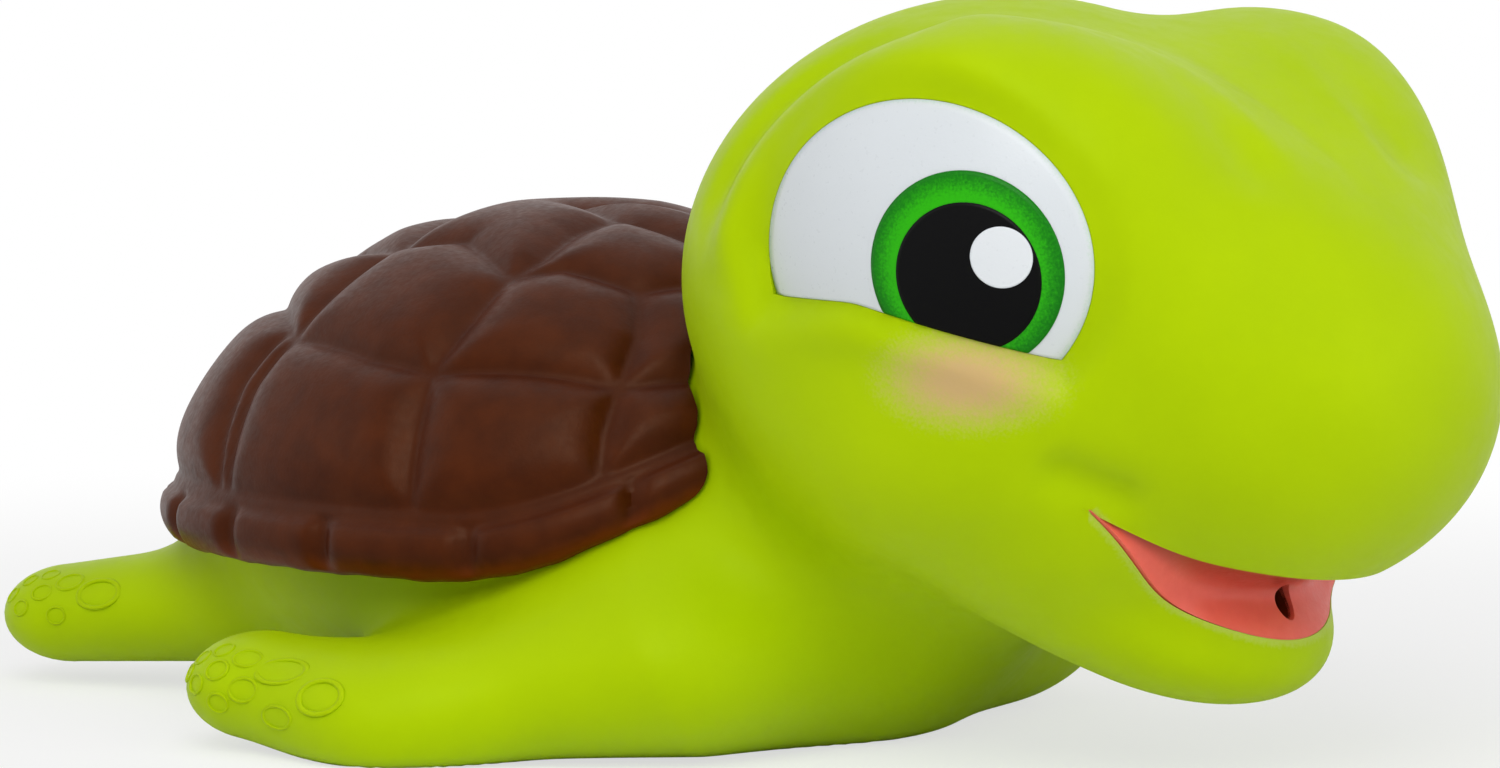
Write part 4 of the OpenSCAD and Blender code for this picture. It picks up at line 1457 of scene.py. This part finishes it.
@dataclass
class FlipperScales:
    """Embossed rings near the tips of the flippers, set on the skin by Geometry Nodes."""

    form: TurtleForm
    bead: float = 0.16
    bead_sides: int = 8
    ring_sides: int = 28
    sink: float = 0.1
    girth: float = 4.6
    reach: float = 12.0
    rows: tuple[ScaleRow, ...] = (
        ScaleRow((-18.0, -32.8, 4.4), (-10.5, -2.5), 80.0, (
            (4.3, -0.6, 1.5, 1.3), (3.1, -1.9, 1.4, 1.2), (2.9, 0.3, 1.7, 1.4),
            (1.3, -2.4, 1.6, 1.4), (1.0, -0.7, 1.9, 1.5), (0.6, 1.3, 1.8, 1.4),
            (-1.1, -1.7, 2.2, 1.6), (-1.6, 0.4, 2.4, 1.7), (-4.4, -0.9, 4.2, 2.2),
            (-4.9, 1.6, 2.8, 1.6), (-8.6, 0.4, 3.6, 2.6))),
        ScaleRow((-53.7, -17.9, 5.3), (-13.2, -4.9), 64.0, (
            (3.7, 0.0, 1.4, 1.2), (2.4, -1.4, 1.3, 1.2), (2.3, 1.3, 1.5, 1.2),
            (0.7, -1.9, 1.5, 1.3), (0.6, 0.1, 1.7, 1.4), (-1.1, 1.7, 1.6, 1.3),
            (-1.6, -0.8, 2.3, 1.7), (-4.6, 0.2, 3.6, 2.4))),
    )

    def sites(self) -> tuple[Array, Array, Array, Array]:
        """Places on the skin, ways out of it, ways along the flipper, and ring sizes."""
        middles, ways, ahead, sizes = [], [], [], []
        for row in self.rows:
            u = np.array([*row.towards, 0]) / np.hypot(*row.towards)
            v = np.array([-u[1], u[0], 0])
            for along, aside, length, width in row.rings:
                lean = math.radians(row.lean) + aside / self.girth
                way = math.sin(lean) * v + np.array([0, 0, math.cos(lean)])
                for side in Side:
                    mirror = np.array([1, side.value, 1])
                    middles.append((np.array(row.tip) + along * u) * mirror)
                    ways.append(way * mirror)
                    ahead.append(u * mirror)
                    sizes.append([length / 2, width / 2, 1.0])
        middle, way = np.array(middles), np.array(ways)

        def inside(r: Array) -> Array:
            """Which places this far out of the flipper's middle are inside the skin."""
            return self.form.modelled(middle + r[:, None] * way) < 0

        p = middle + last_inside(inside, (len(middle),), 0.0, self.reach)[:, None] * way
        slope = slopes(self.form.modelled, p)
        out = slope / np.linalg.norm(slope, axis=-1, keepdims=True)
        return p, out, np.array(ahead), np.array(sizes)

    def tree(self) -> bpy.types.NodeTree:
        """The node group that sets a beaded ring on each point."""
        tree = bpy.data.node_groups.new("flipper_scales", "GeometryNodeTree")
        for name, way, kind in (("Points", "INPUT", "Geometry"), ("Bead", "INPUT", "Float"),
                                ("Finish", "INPUT", "Material"), ("Rings", "OUTPUT", "Geometry")):
            tree.interface.new_socket(name, in_out=way, socket_type="NodeSocket" + kind)
        given = add_node(tree, "NodeGroupInput").outputs

        def add(kind: str, inputs: dict[str, Any], **settings: Any) -> bpy.types.NodeSocket:
            """Adds a node and gives its first output."""
            return add_node(tree, kind, inputs, **settings).outputs[0]

        def named(name: str) -> bpy.types.NodeSocket:
            """A way or size stored on the points."""
            return add("GeometryNodeInputNamedAttribute", {"Name": name}, data_type="FLOAT_VECTOR")

        loop = add("GeometryNodeCurvePrimitiveCircle",
                   {"Resolution": self.ring_sides, "Radius": MM})
        bead = add("GeometryNodeCurvePrimitiveCircle",
                   {"Resolution": self.bead_sides, "Radius": given["Bead"]})
        ring = add("GeometryNodeCurveToMesh", {"Curve": loop, "Profile Curve": bead})
        upright = add("FunctionNodeAlignRotationToVector", {"Vector": named("outward")}, axis="Z")
        turned = add("FunctionNodeAlignRotationToVector",
                     {"Rotation": upright, "Vector": named("ahead")}, axis="X", pivot_axis="Z")
        set_on = add("GeometryNodeInstanceOnPoints",
                     {"Points": given["Points"], "Instance": ring, "Rotation": turned,
                      "Scale": named("reach")})
        real = add("GeometryNodeRealizeInstances", {"Geometry": set_on})
        smooth = add("GeometryNodeSetShadeSmooth", {"Geometry": real})
        dressed = add("GeometryNodeSetMaterial",
                      {"Geometry": smooth, "Material": given["Finish"]})
        add_node(tree, "NodeGroupOutput", {"Rings": dressed})
        return tree

    def build(self, material: bpy.types.Material) -> None:
        """Makes the rings as one mesh with the skin's finish.

        Args:
            material: The skin's finish.
        """
        places, out, ahead, sizes = self.sites()
        points = new_piece("flipper_scales", places - self.sink * out, [], Slot.SKIN, material)
        for name, values in (("outward", out), ("ahead", ahead), ("reach", sizes)):
            layer = points.data.attributes.new(name, "FLOAT_VECTOR", "POINT")
            layer.data.foreach_set("vector", values.astype(np.float32).ravel())
        modifier = points.modifiers.new("rings", "NODES")
        modifier.node_group = self.tree()
        inputs = {socket.name: socket.identifier
                  for socket in modifier.node_group.interface.items_tree
                  if socket.in_out == "INPUT"}
        modifier[inputs["Bead"]] = self.bead * MM
        modifier[inputs["Finish"]] = material
        apply_modifier(points, modifier)
        count = len(points.data.vertices)
        keep_value(points.data, "lip_edge", np.full(count, NO_LIP))
        keep_value(points.data, "bore", np.zeros(count))
        settle_on(points, TOY)


@dataclass
class Squeaker:
    """The reed squeaker in the belly, whose solids are shown with their own finishes."""

    nodes: dict[str, bpy.types.Object]

    def build(self) -> None:
        """Gives each solid its finish."""
        white = PlasticFinish("white_plastic", (236, 236, 231), (226, 226, 219), 0.38).material()
        film = PlasticFinish("reed_film", (226, 200, 132), (214, 184, 112), 0.2, 0.35).material()
        for name in ("squeaker_cup", "reed_block", "reed_clip", "squeaker_cap", "reed"):
            solid = self.nodes[name]
            for place in solid.material_slots:
                place.material = film if name == "reed" else white
            log.info("%s: solid shown with its own finish", name)


# Studio


@dataclass(frozen=True)
class Lamp:
    """A soft square lamp: its name, way from the toy, distance, size and strength."""

    name: str
    azimuth: float
    elevation: float
    away: float
    size: float
    power: float


@dataclass
class Studio:
    """The pale floor, the soft lamps and the camera of the photograph."""

    target: Triple = (0.0, 0.0, 25.0)
    azimuth: float = 40.0
    elevation: float = 5.0
    distance: float = 420.0
    pixels_per_sensor: float = 1500.0
    focal_pixels: float = 5670.0
    sensor_mm: float = 36.0
    nearest: float = 0.01
    grey: float = 0.26
    white_from: float = 70.0
    white_at: float = 200.0
    white_near: float = 0.66
    floor_reach: float = 3000.0
    floor_drop: float = 0.05
    lamps: tuple[Lamp, ...] = (
        Lamp("key", 34, 40, 0.75, 0.5, 3.0),
        Lamp("fill", 96, 20, 0.8, 0.6, 1.6),
        Lamp("top", 30, 80, 0.7, 0.6, 0.7),
        Lamp("side", -38, 28, 0.8, 0.5, 0.55),
    )

    def spot(self, azimuth: float, elevation: float, away: float) -> Vector:
        """A place at a distance in metres from the target.

        Args:
            azimuth: Its turn round the target, in degrees.
            elevation: Its angle above the target, in degrees.
            away: Its distance from the target.

        Returns:
            The place in metres.
        """
        a, e = math.radians(azimuth), math.radians(elevation)
        way = Vector((math.sin(a) * math.cos(e), -math.cos(a) * math.cos(e), math.sin(e)))
        return Vector(self.target) * MM + way * away

    def facing(self, thing: bpy.types.Object) -> None:
        """Turns a lamp or camera to the target."""
        way = Vector(self.target) * MM - thing.location
        thing.rotation_euler = way.to_track_quat("-Z", "Y").to_euler()

    def build(self) -> None:
        """Makes the floor, the lamps, the world and the camera."""
        scene = bpy.context.scene
        scene.view_settings.view_transform = "Standard"
        data = bpy.data.cameras.new("camera")
        data.sensor_width = self.sensor_mm
        data.lens = self.focal_pixels * self.sensor_mm / self.pixels_per_sensor
        data.clip_start = self.nearest
        camera = bpy.data.objects.new("camera", data)
        camera.location = self.spot(self.azimuth, self.elevation, self.distance * MM)
        self.facing(camera)
        scene.collection.objects.link(camera)
        scene.camera = camera
        for lamp in self.lamps:
            light = bpy.data.lights.new(lamp.name, "AREA")
            light.size, light.energy = lamp.size, lamp.power
            holder = bpy.data.objects.new(lamp.name, light)
            holder.location = self.spot(lamp.azimuth, lamp.elevation, lamp.away)
            self.facing(holder)
            scene.collection.objects.link(holder)
        self.build_world()
        self.build_floor()

    def seen(self, tree: bpy.types.NodeTree) -> bpy.types.NodeSocket:
        """1 for rays from the camera, or from a reflection or through clear film.

        Args:
            tree: The tree that needs it.

        Returns:
            The socket that gives it.
        """
        path = add_node(tree, "ShaderNodeLightPath").outputs
        total = path["Is Camera Ray"]
        for name in ("Is Glossy Ray", "Is Transmission Ray"):
            total = add_node(tree, "ShaderNodeMath", {0: total, 1: path[name]},
                             operation="ADD", use_clamp=True).outputs[0]
        return total

    def build_world(self) -> None:
        """A white backdrop for the camera and a softer grey light for the toy."""
        world = bpy.data.worlds.new("studio")
        bpy.context.scene.world = world
        world.use_nodes = True
        tree = world.node_tree
        tree.nodes.clear()
        strength = add_node(tree, "ShaderNodeMapRange", {
            "Value": self.seen(tree), "To Min": self.grey, "To Max": 1.0})
        background = add_node(tree, "ShaderNodeBackground", {
            "Color": (1, 1, 1, 1), "Strength": strength.outputs["Result"]})
        add_node(tree, "ShaderNodeOutputWorld", {"Surface": background.outputs[0]})

    def build_floor(self) -> None:
        """A pale floor that keeps the toy's soft shadow and is plain white further off."""
        n = FinishNodes("pale_floor", {"Base Color": (0.93, 0.93, 0.93, 1), "Roughness": 0.9,
                                       "Specular IOR Level": 0.1})
        away = n.length(n.place)
        far = n.span(away, self.white_from * MM, self.white_at * MM, self.white_near)
        clear = n.span(away, self.white_from * MM, self.white_at * MM)
        camera = n.add("ShaderNodeLightPath").outputs["Is Camera Ray"]
        glow = n.add("ShaderNodeEmission", {"Strength": 1.0})
        share = n.sum("MAXIMUM", n.sum("MULTIPLY", far, camera),
                      n.sum("MULTIPLY", clear, self.seen(n.tree)))
        mix = n.add("ShaderNodeMixShader", {0: share, 1: n.shader.outputs[0], 2: glow.outputs[0]})
        n.tree.links.new(mix.outputs[0], n.output.inputs["Surface"])
        corners = [[x * self.floor_reach, y * self.floor_reach, -self.floor_drop]
                   for x, y in ((-1, -1), (1, -1), (1, 1), (-1, 1))]
        floor = new_piece("floor", corners, [[0, 1, 2, 3]], Slot.WHITE, n.material)


def main() -> None:
    """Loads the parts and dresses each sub-assembly in order."""
    logging.basicConfig(level=logging.INFO, format="%(name)s: %(message)s")
    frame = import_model()
    form = TurtleForm()
    mouth, eyes = Mouth(form), [Eye(side, form.eye) for side in Side]
    vinyl = Skin(form).build(mouth, eyes)
    mouth.build()
    for eye in eyes:
        eye.build()
    Carapace(form).build()
    FlipperScales(form).build(vinyl)
    Squeaker(frame["nodes"]).build()
    Studio().build()


if __name__ == "__main__":
    main()
